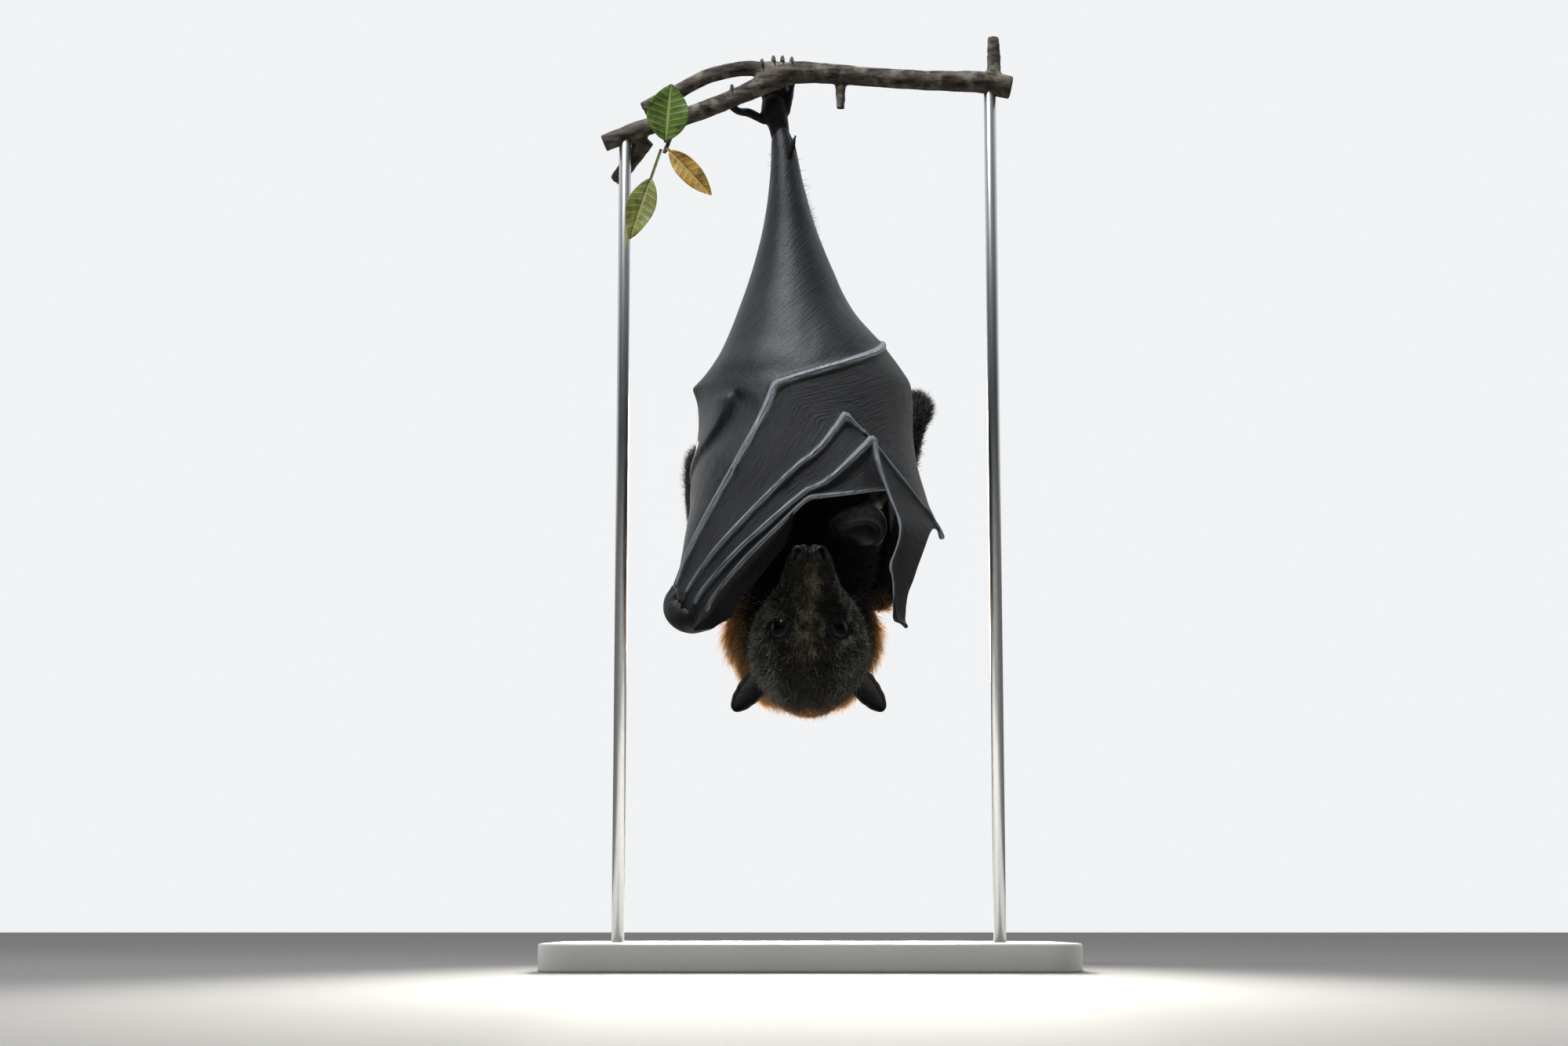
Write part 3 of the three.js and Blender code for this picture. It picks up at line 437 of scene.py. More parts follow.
# %% Stations of the body's parts
TRUNK = np.array([
    [48, 21, 13, 43, -1], [58, 30, 4, 50, -1], [72, 34, -6, 55, -1], [95, 35, -18, 58, 0],
    [122, 35, -19, 57, 0], [150, 32, -12, 53, 0], [172, 26.5, -3, 47.5, -1], [188, 19.5, 5, 42.5, -2],
    [199, 13, 11, 39, -3], [206, 6, 18, 34, -3],
])
NECK = np.array([
    [3, 12, -6, 17, 0], [8, 25, -13, 26, -1], [16, 33, -17, 34, -1.5], [27, 38.5, -18, 41, -2],
    [39, 42, -16, 47, -2.5], [52, 41, -10, 51, -2.5], [66, 35, -3, 51, -2], [76, 24, 8, 46, -1],
])
THIGH = {
    "right": [[-13, 16, 172, 12], [-8, 27, 194, 11], [-1, 33, 213, 9]],
    "left": [[15, 14, 168, 12], [26, 0, 144, 10.5], [31, -10, 124, 8.6]],
}
SHANK = {
    "right": [[-1, 33, 213, 8.6], [-4, 24, 232, 7.4], [-9, 14, 252, 5], [-12.6, 8, 270, 3.8]],
    "left": [[31, -10, 124, 8.2], [25, -14, 143, 6.6], [15, -10, 163, 4.8], [9, -6, 178, 3.8]],
}
FOOT = {
    "right": [[-12.4, 8, 270.5, 3], [-13.6, 8, 278, 3.5], [-15.6, 8.4, 285, 4.3], [-16, 9, 289.5, 4]],
    "left": [[9, -6, 178, 2.9], [6, -3, 186, 3.2], [3, 2, 195, 3.6], [2, 5, 202, 3]],
}
UPPER_ARM = {
    "right": [[-34, 20, 58, 11], [-43, 36, 92, 10], [-49, 50, 122, 8.6]],
    "left": [[33, 20, 58, 11], [41, 34, 102, 9.6], [50.5, 45, 147, 9]],
}
FOREARM = {
    "right": [[-49.5, 51, 125, 8.2], [-51.5, 28, 106, 6.6], [-51, 4, 86, 5.2], [-53, -20, 65, 4.6],
              [-57, -37, 50, 4.8]],
    "left": [[51.5, 47, 150, 8.6], [43.5, 24, 131, 6], [39.5, 0, 114, 5.2], [32, -22, 98, 4.8],
             [23, -39, 85, 5]],
}
WRIST = {
    "right": [[-58.6, -33, 54, 2.6], [-59.4, -33, 49, 4.8], [-57.6, -36.5, 43.5, 6.2], [-52, -41, 40, 6.6],
              [-45, -44, 39.6, 5.2]],
    "left": [[11.5, -38, 82.5, 3], [17, -41, 84.8, 3.8], [22.5, -42, 86.6, 4], [27.5, -41.5, 86.3, 4],
             [31.2, -40, 83.2, 3], [32.2, -38.5, 78.6, 2], [30, -37, 74, 1.2]],
}
SPUR = [[-10, 3, 258, 1.8], [-7.4, 2, 266, 1.5], [-5.8, 1.5, 271.5, 0.7]]
PALM = [[15, -35, 80, 5], [24, -35.5, 79, 6.4], [29, -34, 77, 4]]
THUMB = {
    "right": [[-51, -36, 44, 3], [-42, -37, 50, 2.4], [-31, -40, 60, 2], [-26, -42, 65, 1.2]],
    "left": [[26, -33, 80, 3], [24, -27, 82, 2.4], [22, -22, 84, 2], [20, -18, 86, 1.2]],
}
TOES = {
    "right_toe_1": [-20.5, -35.4, 284, 286.6], "right_toe_2": [-18.4, -21.4, 290, 299],
    "right_toe_3": [-15.6, -16, 291, 300.6], "right_toe_4": [-12.6, -11.8, 290.5, 300.6],
    "right_toe_5": [-10, -7.4, 288, 300],
}
TOE_DEPTH, TOE_RADIUS, CLAW_RISE = 9.6, 1.9, 8.6
SHOULDERS = np.array([
    [50, 28, 2, 44, -1], [60, 32, -2, 46, -1], [72, 32, -4, 48, -1], [86, 31, -9, 50, 0], [98, 28, -10, 50, 0],
])
COAT_DEPTH = {"trunk": 8, "neck": 9, "thigh": 7, "shank": 3, "upper_arm": 4, "forearm": 1.4}


def oval_body(table, shrink, sides=48, rows=60):
    """Level oval rings through rows of height, half width, front, back and x, each drawn in by shrink."""
    low, high = table[0, 0] + shrink * 0.6, table[-1, 0] - shrink * 0.6
    _, half, near, far, middle = smooth_table(table, np.linspace(low, high, rows)).T
    turn = full_turn(sides)
    half = np.maximum(half - shrink, 1)[:, None]
    depth = np.maximum((far - near) / 2 - shrink, 1)[:, None]
    x = middle[:, None] + half * np.cos(turn)
    y = ((near + far) / 2)[:, None] + depth * np.sin(turn)
    z = np.broadcast_to(np.linspace(low, high, rows)[:, None] + LIFT, x.shape)
    return closed_rings(np.stack([x, y, z], axis=-1))


# %% [markdown]
# ## One skin for the body
# A live animal has no joints between its parts, so the trunk, neck, legs and arms become one surface. The
# parts are simple closed tubes that overlap. Blender's voxel remesh fills them with small cubes and wraps
# one new surface round the lot, and a smoothing pass rounds the creases where the parts meet. The skin
# lies under the coat, so each part is drawn in by the depth of its fur first.

# %% Remeshing overlapping parts
def merged_skin(name, parts, voxel, smoothing):
    """Points and faces of one surface round closed parts: a voxel remesh, then smoothing."""
    mesh = build_mesh(name, *join_parts(parts))
    lump = bpy.data.objects.new(name, mesh)
    bpy.context.scene.collection.objects.link(lump)
    remesh = lump.modifiers.new("remesh", "REMESH")
    remesh.mode = "VOXEL"
    remesh.voxel_size = voxel * MM
    relax = lump.modifiers.new("relax", "SMOOTH")
    relax.iterations = smoothing
    graph = bpy.context.evaluated_depsgraph_get()
    result = lump.evaluated_get(graph).to_mesh()
    points = read(result.vertices, "co", 3).astype(float) / MM
    quads = read(result.polygons, "vertices", 4, np.int32) if len(result.polygons) else []
    lump.evaluated_get(graph).to_mesh_clear()
    bpy.data.objects.remove(lump)
    bpy.data.meshes.remove(mesh)
    print(name, len(points), "points after the remesh")
    return points, quads, []


def toe_stations(name):
    """A toe climbs from the foot behind the branch to where its claw starts."""
    x, side, low, top = TOES[name]
    return [[x, 8.6, low - 3, TOE_RADIUS],
            [mix(x, side, 0.45), TOE_DEPTH, mix(low, top, 0.4), TOE_RADIUS + 0.3],
            [mix(x, side, 0.8), TOE_DEPTH + 0.3, mix(low, top, 0.75), TOE_RADIUS - 0.1],
            [side, TOE_DEPTH - 0.5, top + 1.5, TOE_RADIUS + 0.1]]


torso_parts = [oval_body(TRUNK, COAT_DEPTH["trunk"]), oval_body(NECK, COAT_DEPTH["neck"]),
               oval_body(SHOULDERS, 1)]
hand_parts = [limb(toe_stations(name), steps=14, sides=14) for name in TOES]
for side in SIDES:
    torso_parts += [
        limb(THIGH[side], shrink=COAT_DEPTH["thigh"]),
        limb(SHANK[side], shrink=COAT_DEPTH["shank"]),
        limb(UPPER_ARM[side], shrink=COAT_DEPTH["upper_arm"]),
        limb(FOREARM[side], steps=40, shrink=COAT_DEPTH["forearm"]),
    ]
    hand_parts += [
        limb(SHANK[side][-2:], shrink=COAT_DEPTH["shank"] * 0.6),
        limb(FOOT[side], wide=1.42),
        limb(FOREARM[side][-2:], shrink=COAT_DEPTH["forearm"] - 0.2),
        limb(WRIST[side], steps=16),
        limb(THUMB[side], sides=12),
    ]
hand_parts += [limb(PALM, steps=12), limb(SPUR, steps=12, sides=12)]
torso_skin = merged_skin("torso_skin", torso_parts, voxel=1.3, smoothing=6)
hand_skin = merged_skin("hand_skin", hand_parts, voxel=0.75, smoothing=4)

# %% [markdown]
# ## The head
# The head hangs tilted, so it is worked out in a frame of its own: x across, y to the throat and z along
# the muzzle. Sections from nape to nose give the outline out to the tips of the fur, and the coat's depth
# is taken off to find the skin. That depth is small on the muzzle and round the eyes and large on cheeks
# and crown, which is what gives the face its shape once the fur is on.

# %% The head's own frame and outline
HEAD_TILT = math.radians(55)
HEAD_CENTRE = np.array([0, -32.6, 42.6 + LIFT])
HEAD_AXES = np.array([
    [1, 0, 0],
    [0, math.sin(HEAD_TILT), math.cos(HEAD_TILT)],
    [0, -math.cos(HEAD_TILT), math.sin(HEAD_TILT)],
])
HEAD = np.array([
    [-45.5, 5.6, 10.4, 5], [-41, 14.2, 16.8, 12], [-34.5, 21, 21.6, 17.6], [-27, 26.4, 23.6, 20.6],
    [-19, 28.4, 23, 21.6], [-11, 28, 21, 21], [-2, 25.4, 17.8, 19.6], [6.4, 19.8, 13.2, 17.6],
    [12.6, 15, 9.6, 15.4], [20, 12.4, 7.2, 13], [26.5, 10.3, 5.6, 10.6], [30.4, 8.4, 4.2, 8.4],
    [32.4, 6, 2.6, 6], [33.3, 3.4, 1.2, 3.4], [33.6, 0.6, 0.2, 0.6],
])
HEAD_COAT = np.array([
    [-45.5, 4], [-35, 6.5], [-27, 6.6], [-19, 6], [-11, 5.4], [-2, 4.2], [6.4, 2.8], [12.6, 2], [20, 1.4],
    [27, 1], [31, 0.7], [33.6, 0.3],
])
EYE_RADIUS, EYE_APART, EYE_UP, EYE_FORWARD = 6, 11, 9.9, -1.3
EYE_AXIS = unit(np.array([0.5, -0.72, 0.48]))
EYE_OPENING = 2.9


def to_world(local):
    """Points of the head's own frame, put in place."""
    return local @ HEAD_AXES + HEAD_CENTRE


def to_head(points):
    """Places in the head's own frame."""
    return (points - HEAD_CENTRE) @ HEAD_AXES.T


def eye_centre(side):
    """Middle of an eyeball in the head's own frame."""
    return np.array([side * EYE_APART, -EYE_UP, EYE_FORWARD])


def eye_axis(side):
    """The way an eye looks."""
    return EYE_AXIS * [side, 1, 1]


def from_eyes(local):
    """Distance of each place from the nearer eye's opening."""
    reach = [np.linalg.norm(local - eye_centre(s) - eye_axis(s) * EYE_RADIUS, axis=-1) for s in (RIGHT, LEFT)]
    return np.minimum(*reach)


def head_coat_depth(local):
    """Depth of the fur: by the place along the head, less on the forehead and close to the eyes."""
    depth = smooth_table(HEAD_COAT, local[..., 2])[..., 1]
    forehead = step(2, -12, local[..., 1]) * 0.35
    cheek = step(-4, 8, local[..., 1]) * step(-26, -8, local[..., 2]) * 0.15
    near_eye = 0.84 * bell(from_eyes(local), 6.5)
    return depth * (1 - forehead + cheek) * (1 - near_eye)


def head_surface(place, turn, depth):
    """Points of the head under its fur: at a place along the head, turn goes round it from the left side
    over the throat. half * cos(turn)^0.92 is across, and sin(turn) times the throat or forehead is deep."""
    _, half, forehead, throat = split(smooth_table(HEAD, place))
    up_down = np.sin(turn)
    tall = np.where(up_down < 0, forehead, throat)
    x = np.maximum(half - depth, 0.2) * power(np.cos(turn), 0.92)
    return np.stack([x, np.maximum(tall - depth, 0.2) * up_down, place], axis=-1)


# %% [markdown]
# Three features are pressed into that surface: a socket behind each eyeball, the line of the mouth, and the
# groove down the middle of the nose. Each is a short, smooth push along or against the surface, so the grid
# keeps its even spacing.

# %% The head's skin
HEAD_ROWS, HEAD_TURNS = 210, 180
MOUTH_BACK, MOUTH_LEVEL, MOUTH_SLOPE = 5, 6.2, 0.11


def grid_normals(points, closed=True):
    """Unit normals of a grid: the cross product of its two directions."""
    down = np.gradient(points, axis=0)
    padded = np.concatenate([points[:, -1:], points, points[:, :1]], axis=1) if closed else points
    across = np.gradient(padded, axis=1)
    across = across[:, 1:-1] if closed else across
    return unit(np.cross(across, down))


def press_sockets(local):
    """Lowers the skin behind each eyeball to a shallow hole, with a soft edge."""
    for side in SIDES.values():
        axis = eye_axis(side)
        offset = local - eye_centre(side)
        height = offset @ axis
        reach = np.linalg.norm(offset - height[..., None] * axis, axis=-1)
        facing = height > 0
        drop = (height - 3.2) * step(5.8, 4.2, reach) * facing
        local = local - np.maximum(drop, 0)[..., None] * axis
    return local


def press_mouth(local, normals):
    """A groove along the mouth line, which rises from the chin towards the cheek, and a nose groove."""
    level = MOUTH_LEVEL - MOUTH_SLOPE * (local[..., 2] - 20)
    groove = bell(local[..., 1] - level, 0.75) * step(MOUTH_BACK, MOUTH_BACK + 5, local[..., 2])
    lip = bell(local[..., 1] - level + 1.9, 1.2) * step(MOUTH_BACK, MOUTH_BACK + 9, local[..., 2])
    middle = bell(local[..., 0], 1.1) * step(25, 31, local[..., 2])
    push = 0.5 * lip - 0.9 * groove - 1.3 * middle
    return local + push[..., None] * normals


def head_skin():
    """Grid over the whole head: rows run from nape to nose, closer together towards the muzzle."""
    share = np.linspace(0, 1, HEAD_ROWS)[:, None]
    place = mix(HEAD[0, 0], HEAD[-1, 0], share ** 0.94)
    turn = full_turn(HEAD_TURNS)[None]
    place, turn = np.broadcast_arrays(place, turn)
    outline = head_surface(place, turn, 0 * place)
    local = head_surface(place, turn, head_coat_depth(outline))
    normals = grid_normals(local)
    if (normals[HEAD_ROWS // 2, 0] @ [1, 0, 0]) < 0:
        normals = -normals
    return to_world(press_sockets(press_mouth(local, normals)))


head_points, head_quads, _ = closed_rings(head_skin())
print("head skin:", len(head_quads), "quads")

# %% [markdown]
# ## Eyelids and nostrils
# Lids are a ring of bare skin round each eye. Its section starts against the eyeball, rolls over a thin rim
# and runs out under the fur. The opening is an almond with its inner corner drawn towards the nose. The
# nostrils are two mounds side by side, each with a comma-shaped opening that turns a little outwards.

# %% Lids and nostrils
LID_SECTION = np.array([
    [-0.6, -0.35], [0.0, 0.06], [0.1, 0.2], [0.35, 0.26], [0.8, 0.16], [1.2, -0.02], [1.6, 0.02], [2.2, -0.2],
    [3.0, -1.4],
])
LID_LEVEL = 4.7
NOSTRIL_PLACE, NOSTRIL_AHEAD = np.array([5, -2.3, 32.6]), unit(np.array([0.3, -0.8, 0.52]))
NOSTRIL_ROWS = np.array([
    [1.2, -5], [1.1, -2.6], [1, -1.1], [0.84, -0.25], [0.6, 0.25], [0.36, 0.42], [0.16, 0.3], [0.03, -0.1],
    [-0.1, -0.8], [-0.25, -1.8], [-0.6, -2.6],
])


def eye_frame(side):
    """The eye's axis, the way to its inner corner, and the way square to both."""
    axis = eye_axis(side)
    corner = np.array([-side, 0, 0.85])
    corner = unit(corner - axis * (corner @ axis))
    return axis, corner, np.cross(axis, corner)


def opening(turn):
    """Half width of the almond: longer towards its inner corner at turn 0 and a little at the outer one."""
    return EYE_OPENING + 1.5 * bell(turn, 0.42) + 0.5 * bell(np.abs(turn) - np.pi, 0.5)


def eyelid(side):
    """Ring of skin: each section point lies at the opening's width plus its own. Its height follows the
    eyeball at the opening and settles to the level of the skin around."""
    axis, corner, across = eye_frame(side)
    turn = np.linspace(-np.pi, np.pi, 72, endpoint=False)
    reach = opening(turn)[None] + LID_SECTION[:, :1]
    ball = np.sqrt(np.maximum(EYE_RADIUS ** 2 - reach ** 2, 0))
    height = mix(ball, LID_LEVEL, step(0.2, 2.4, LID_SECTION[:, :1])) + LID_SECTION[:, 1:]
    flat = np.cos(turn)[None, :, None] * corner + np.sin(turn)[None, :, None] * across
    points = eye_centre(side) + reach[..., None] * flat + height[..., None] * axis
    quads = grid_faces(*points.shape[:2], closed=True)
    return to_world(points).reshape(-1, 3), quads, []


def nostril(side):
    """Mound of bare skin with a comma-shaped opening. The opening's radius is 1.25 with a long spike down its
    outer side, and each row of the mound lies at a share of the way from it to the mound's wider edge."""
    turn = np.linspace(-np.pi, np.pi, 64, endpoint=False)[None]
    hole = 1.25 + 3.3 * bell(turn + 1.13, 0.24)
    edge = 3.0 + 0.4 * np.cos(turn) + 2.4 * bell(turn + 1.05, 0.6)
    share, height = NOSTRIL_ROWS[:, :1], NOSTRIL_ROWS[:, 1:]
    reach = np.where(share > 0, mix(hole, edge, share), hole * (1 + share))
    outside = unit(np.array([1, 0, 0]) - NOSTRIL_AHEAD * NOSTRIL_AHEAD[0])
    up = np.cross(outside, NOSTRIL_AHEAD)
    up = up if up[2] > 0 else -up
    local = NOSTRIL_PLACE + reach[..., None] * (
        np.cos(turn)[..., None] * outside + np.sin(turn)[..., None] * up) + height[..., None] * NOSTRIL_AHEAD
    return closed_rings(to_world(local * [side, 1, 1]))


face_parts = [part(side) for part in (eyelid, nostril) for side in SIDES.values()]

# %% [markdown]
# ## Bones of the wings
# A bat's wing is a hand: the long bones of fingers two to five cross the front of the bundle from each
# wrist. Each is a chain of straight bones that is thicker at its knuckles. A chain is kept as angle, height
# and lift on the bundle, because the membranes are stretched between the same lines.

# %% Finger chains and tubes
LEFT_LAYER, BONE_SINK, INSIDE_PLACES, KNUCKLE_WIDTH = -4.5, 0.45, 9, 3
FINGER = {
    "right_2": [[-50, 36, -1.5, 0.5], [-44, 43, -0.6, 1.3], [1, 92.5, 0.3, 1.5], [33.4, 97, 0.4, 1]],
    "right_3": [[-53, 39.5, -1.5, 0.5], [-50, 45, -0.4, 1.4], [0, 96, 0.6, 1.6], [28.2, 120.6, 3, 2.2],
                [36.3, 91.5, 1.6, 1.2], [39.6, 82, 0.6, 1.2], [35, 62, 0, 1], [37, 39, 0, 1.1],
                [42.2, 36.8, 0, 1.2]],
    "right_4": [[-55.5, 43, -1.5, 0.5], [-55, 49, -0.4, 1.5], [-10, 102, 0, 1.6], [16, 131, 0.6, 2.2],
                [23.5, 124, -1, 1.2], [31.5, 114.4, -1.8, 1.1], [52, 88.8, -0.4, 1.1], [59, 78.2, 0, 1.6]],
    "right_5": [[-57, 48, -1.5, 0.5], [-58.8, 54.5, -0.4, 1.5], [-32, 108, 0, 1.6], [-14.5, 146, 0.6, 2.3],
                [34, 171, 0.2, 1.9]],
    "left_3": [[7, 95, LEFT_LAYER, 1.8], [-18, 101, LEFT_LAYER, 1.4], [-44, 113, LEFT_LAYER, 1.8]],
    "left_4": [[12, 99, LEFT_LAYER, 1.8], [-15, 112, LEFT_LAYER, 1.4], [-42, 130, LEFT_LAYER, 1.8]],
    "left_5": [[17, 103, LEFT_LAYER, 1.8], [-10, 122, LEFT_LAYER, 1.4], [-37.6, 146, LEFT_LAYER + 1.2, 2],
               [-47, 151.5, LEFT_LAYER + 3, 1.8]],
}
CHAIN = {name: np.array([[*front(x, z, lift), r] for x, z, lift, r in rows]) for name, rows in FINGER.items()}


def bone_path(name, count=70):
    """Points and radii of a finger's bones in place."""
    rows = along(CHAIN[name], np.linspace(0, 1, count))
    return on_bundle(rows[:, 0], rows[:, 1], rows[:, 2]), rows[:, 3]


def bone_tube(name):
    """Tube along a finger, a little under its membrane's ridge, with a knob at each knuckle. It leaves out
    the chain's first places, which lie inside the bundle."""
    path, radius = bone_path(name)
    joints = on_bundle(*CHAIN[name][2:, :3].T)
    radius = radius * 0.9 - BONE_SINK + 0.35 * bell(distance_to(path, joints), KNUCKLE_WIDTH)
    return limb(np.column_stack([path - [0, 0, LIFT], radius])[INSIDE_PLACES:], steps=110, sides=12)


def edge_cord(name, turn, rise, start, end):
    """Thin cord of skin beside a finger, moved from its line by degrees and millimetres."""
    rows = along(CHAIN[name], np.linspace(start, end, 90)) + [turn, rise, 0.5, 0]
    share = np.linspace(-1, 1, len(rows))
    radius = 0.46 * np.sqrt(1 - 0.9 * share ** 4)
    return limb(np.column_stack([on_bundle(*rows[:, :3].T) - [0, 0, LIFT], radius]), steps=120, sides=8)


def ridge(points, names):
    """Height that bones give to the skin over them, and a painted highlight over each bone. The height is
    the radius times a bell curve of the distance to the nearest place on each chain, with a knob over each
    knuckle. The highlight is a flat bell with a dark line in its middle. Bones that cross don't add up."""
    height, band = np.zeros(points.shape[:-1]), np.zeros(points.shape[:-1])
    for name in names:
        path, radius = bone_path(name, 40)
        start, way = path[:-1], np.diff(path, axis=0)
        offset = points[..., None, :] - start
        share = np.clip((offset * way).sum(-1) / (way ** 2).sum(-1), 0, 1)
        distance = np.linalg.norm(offset - share[..., None] * way, axis=-1)
        thick = radius[distance.argmin(axis=-1)]
        distance = distance.min(axis=-1)
        joints = on_bundle(*CHAIN[name][2:-1, :3].T) if len(CHAIN[name]) > 3 else path[-1:]
        knob = 0.6 * bell(distance_to(points, joints), KNUCKLE_WIDTH)
        height = np.maximum(height, 0.9 * thick * bell(distance, 0.85 * thick, 1.8) + knob)
        flat = bell(distance, 0.75 * thick, 3) - 0.8 * bell(distance, 0.22 * thick)
        band = np.maximum(band, flat * np.clip(2.2 * thick - 2.3, 0.1, 1))
    return height, band


# %% [markdown]
# ## Wing membranes
# The membrane is a thin elastic skin stretched between those bones. Each panel is a grid between two edge
# lines: its points are a straight mix of the two in angle and height, so it follows the bundle, and its
# lift rises into a ridge over every bone. Small pleats run along the bones, and a fan of creases spreads
# from the fifth finger's knuckle, where the folded skin is gathered.

# %% Panels
SKIN_SHEET, FLAP_SHADE = 0.6, -0.8
RIGHT_BACK_LINE = [
    [-150, 281, -3.4], [-150, 272, -1.4], [-150, 240, 0], [-148, 207, 0], [-142, 178, -1.5],
    [-130, 156, -2], [-118, 141, 5],
    *[beside(*row[:3]) for row in FOREARM["right"][1:4]], beside(-56, -33, 57),
]
RIGHT_FREE_EDGE = [
    [70, 276, -3.2], [76, 269, -0.8], [84, 246, 0], [84, 222, 0], [82, 200, 0], [80, 184, 0],
    front(34, 171, 0.2), front(-14.5, 146, 0.6), front(-32, 108, 0), front(-58.6, 55, -0.4),
    front(-57, 48, -1.5),
]
LEFT_BACK_LINE = [
    [134, 180, -19], [132, 171, -9], [126, 156, LEFT_LAYER + 2], [118, 143, 4],
    *[beside(*row[:3]) for row in FOREARM["left"][1:4]], beside(27, -34, 92),
]
LEFT_FREE_EDGE = [
    front(14, 189, -12), front(10, 180, LEFT_LAYER - 2), front(-20, 170, LEFT_LAYER), [-87, 152, LEFT_LAYER],
    front(-37.6, 146, LEFT_LAYER), front(17, 103, LEFT_LAYER),
]
THUMB_EDGE = [
    front(-50, 34, -3), front(-42, 35, -2.5), front(-34, 39.5, -2.5), front(-31, 45.5, -3),
    front(-22, 57, -3.5), front(-11, 70.5, -3), *along(CHAIN["right_2"], np.array([0.62]))[:, :3].tolist(),
]


def tent(phi, z):
    """Lift of a membrane over two knuckles of the wing beneath it: a sharp peak at the bundle's left edge,
    and a fold that runs down and outwards, with a long left side, a steep right one and a hollow beside it."""
    peak = 5.4 * np.exp(-(np.abs(phi + 84) / 12) ** 1.3 - (np.abs(z - 151.5) / 6) ** 1.3)
    beside_fold = phi + 47.7 + 0.039 * np.maximum(143.4 - z, 0) ** 2
    right = np.maximum(beside_fold, 0)
    fold = 2 * bell(np.minimum(beside_fold, 0), 15) - 4.2 * step(0, 6, right)
    fold = fold * bell(np.maximum(right - 6, 0), 13)
    top = 144 - 0.02 * right ** 2
    return peak + fold * step(3, -3, z - top) * np.exp(-np.maximum(143 - z, 0) / 34)


def softened(grid, passes):
    """A grid averaged with its neighbours along its rows' direction, apart from its four edges."""
    result = grid.copy()
    for _ in range(passes):
        result[1:-1] = result[1:-1] * 0.5 + (result[:-2] + result[2:]) * 0.25
    share = np.linspace(0, 1, grid.shape[1])[None, :, None]
    return mix(grid, result, np.clip(12 * share * (1 - share), 0, 1))


def eased(count):
    """Numbers from 0 to 1 that lie closer together near both ends: (1 - cos) / 2."""
    return 0.5 - 0.5 * np.cos(np.linspace(0, np.pi, count))


def panel(edge_a, edge_b, rows, columns, sag=0.0, settle=1.0, raised=None, hollow=0.0):
    """Angle, height and lift of a panel's grid: edge_a's lift dies out as (1 - share)^settle, sag hollows
    the middle by 4 * share * (1 - share), and hollow draws in the free edge at the end, most near edge_a."""
    share = eased(columns)[None, :]
    down = np.linspace(0, 1, rows)[:, None] * (1 - hollow * 4 * share ** 0.7 * (1 - share ** 0.7))
    a, b = along(edge_a, down)[..., :3], along(edge_b, down)[..., :3]
    share = share[..., None]
    grid = mix(a, b, share)
    grid[..., 2:] = mix(b[..., 2:], a[..., 2:], (1 - share) ** settle) - 4 * share * (1 - share) * sag
    grid = softened(grid, rows // 5)
    if raised:
        grid[..., 2] += raised(grid[..., 0], grid[..., 1])
    return grid


def creases(points):
    """Relief of the stretched skin: broad unevenness, and a fan of creases beside a knuckle."""
    x, _, z = body_place(points)
    relief = 0.3 * noise(points * [1, 1, 0.6], 13, 3) + 0.1 * noise(points * [1, 1, 0.5], 5, 4)
    dx, dz = x + 15, z - 147
    reach, turn = np.hypot(dx, dz), np.arctan2(dz, dx)
    fan = np.sin(turn * 30 + 1.6 * noise(points, 9, 5) + reach * 0.03)
    return relief + 0.13 * fan * bell(reach - 13, 9) * step(-1.3, -0.9, turn) * step(0.5, 0.2, turn)


def pleats(share, down, points, depth):
    """Shallow folds that run with the bones: a wavy sine across the panel, strongest near its edges."""
    wave = np.sin(share * 46 + 5 * noise(points, 16, 6) + down * 6)
    return depth * wave * (0.35 + bell(share, 0.16) + bell(1 - share, 0.16))


def skin_panel(grid, bones, depth=0.05, shaded=0.0):
    """Closed thin sheet of a panel: outer face, inner face and the rim between them. The uv of a point is
    how far across and along the panel it lies, in metres. Painted shade darkens a panel towards its free edge."""
    rows, columns = grid.shape[:2]
    down, share = np.meshgrid(np.linspace(0, 1, rows), eased(columns), indexing="ij")
    flat = on_bundle(*split(grid))
    bone, band = ridge(flat, bones)
    lift = grid[..., 2] + bone + creases(flat) + pleats(share, down, flat, depth)
    # painted shade, stronger towards the free edge
    band = band - shaded * step(0.05, 0.5, share)
    outer = on_bundle(grid[..., 0], grid[..., 1], lift)
    inner = on_bundle(grid[..., 0], grid[..., 1], lift - SKIN_SHEET)
    across = np.linalg.norm(np.diff(outer, axis=1, prepend=outer[:, :1]), axis=-1).cumsum(axis=1)
    length = np.linalg.norm(np.diff(outer, axis=0, prepend=outer[:1]), axis=-1).cumsum(axis=0)
    place = np.stack([across * MM, length.mean(axis=1, keepdims=True) * MM + 0 * across, band], axis=-1)
    place = place.reshape(-1, 3)
    return *sandwich(outer, inner), np.concatenate([place, place * [1, 1, 0.2]])


def sandwich(outer, inner):
    """Closed shape between two grids: both faces and a rim of quads round their edges."""
    rows, columns = outer.shape[:2]
    size = rows * columns
    face = grid_faces(rows, columns)
    index = np.arange(size).reshape(rows, columns)
    rim = np.concatenate([index[0, :-1], index[:-1, -1], index[-1, :0:-1], index[:0:-1, 0]])
    after = np.roll(rim, -1)
    sides = np.stack([rim, after, after + size, rim + size], axis=-1)
    points = np.concatenate([outer.reshape(-1, 3), inner.reshape(-1, 3)])
    quads = np.concatenate([face[:, ::-1], face + size, sides])
    return points, quads


def painted_shade_behind_hand(points):
    """1 in the dim gap between the left hand, the muzzle and the right wing's tip, where shade is painted."""
    x, _, height = body_place(points)
    return step(46, 41, x) * step(0, 8, x) * step(114, 106, height) * step(52, 60, height)


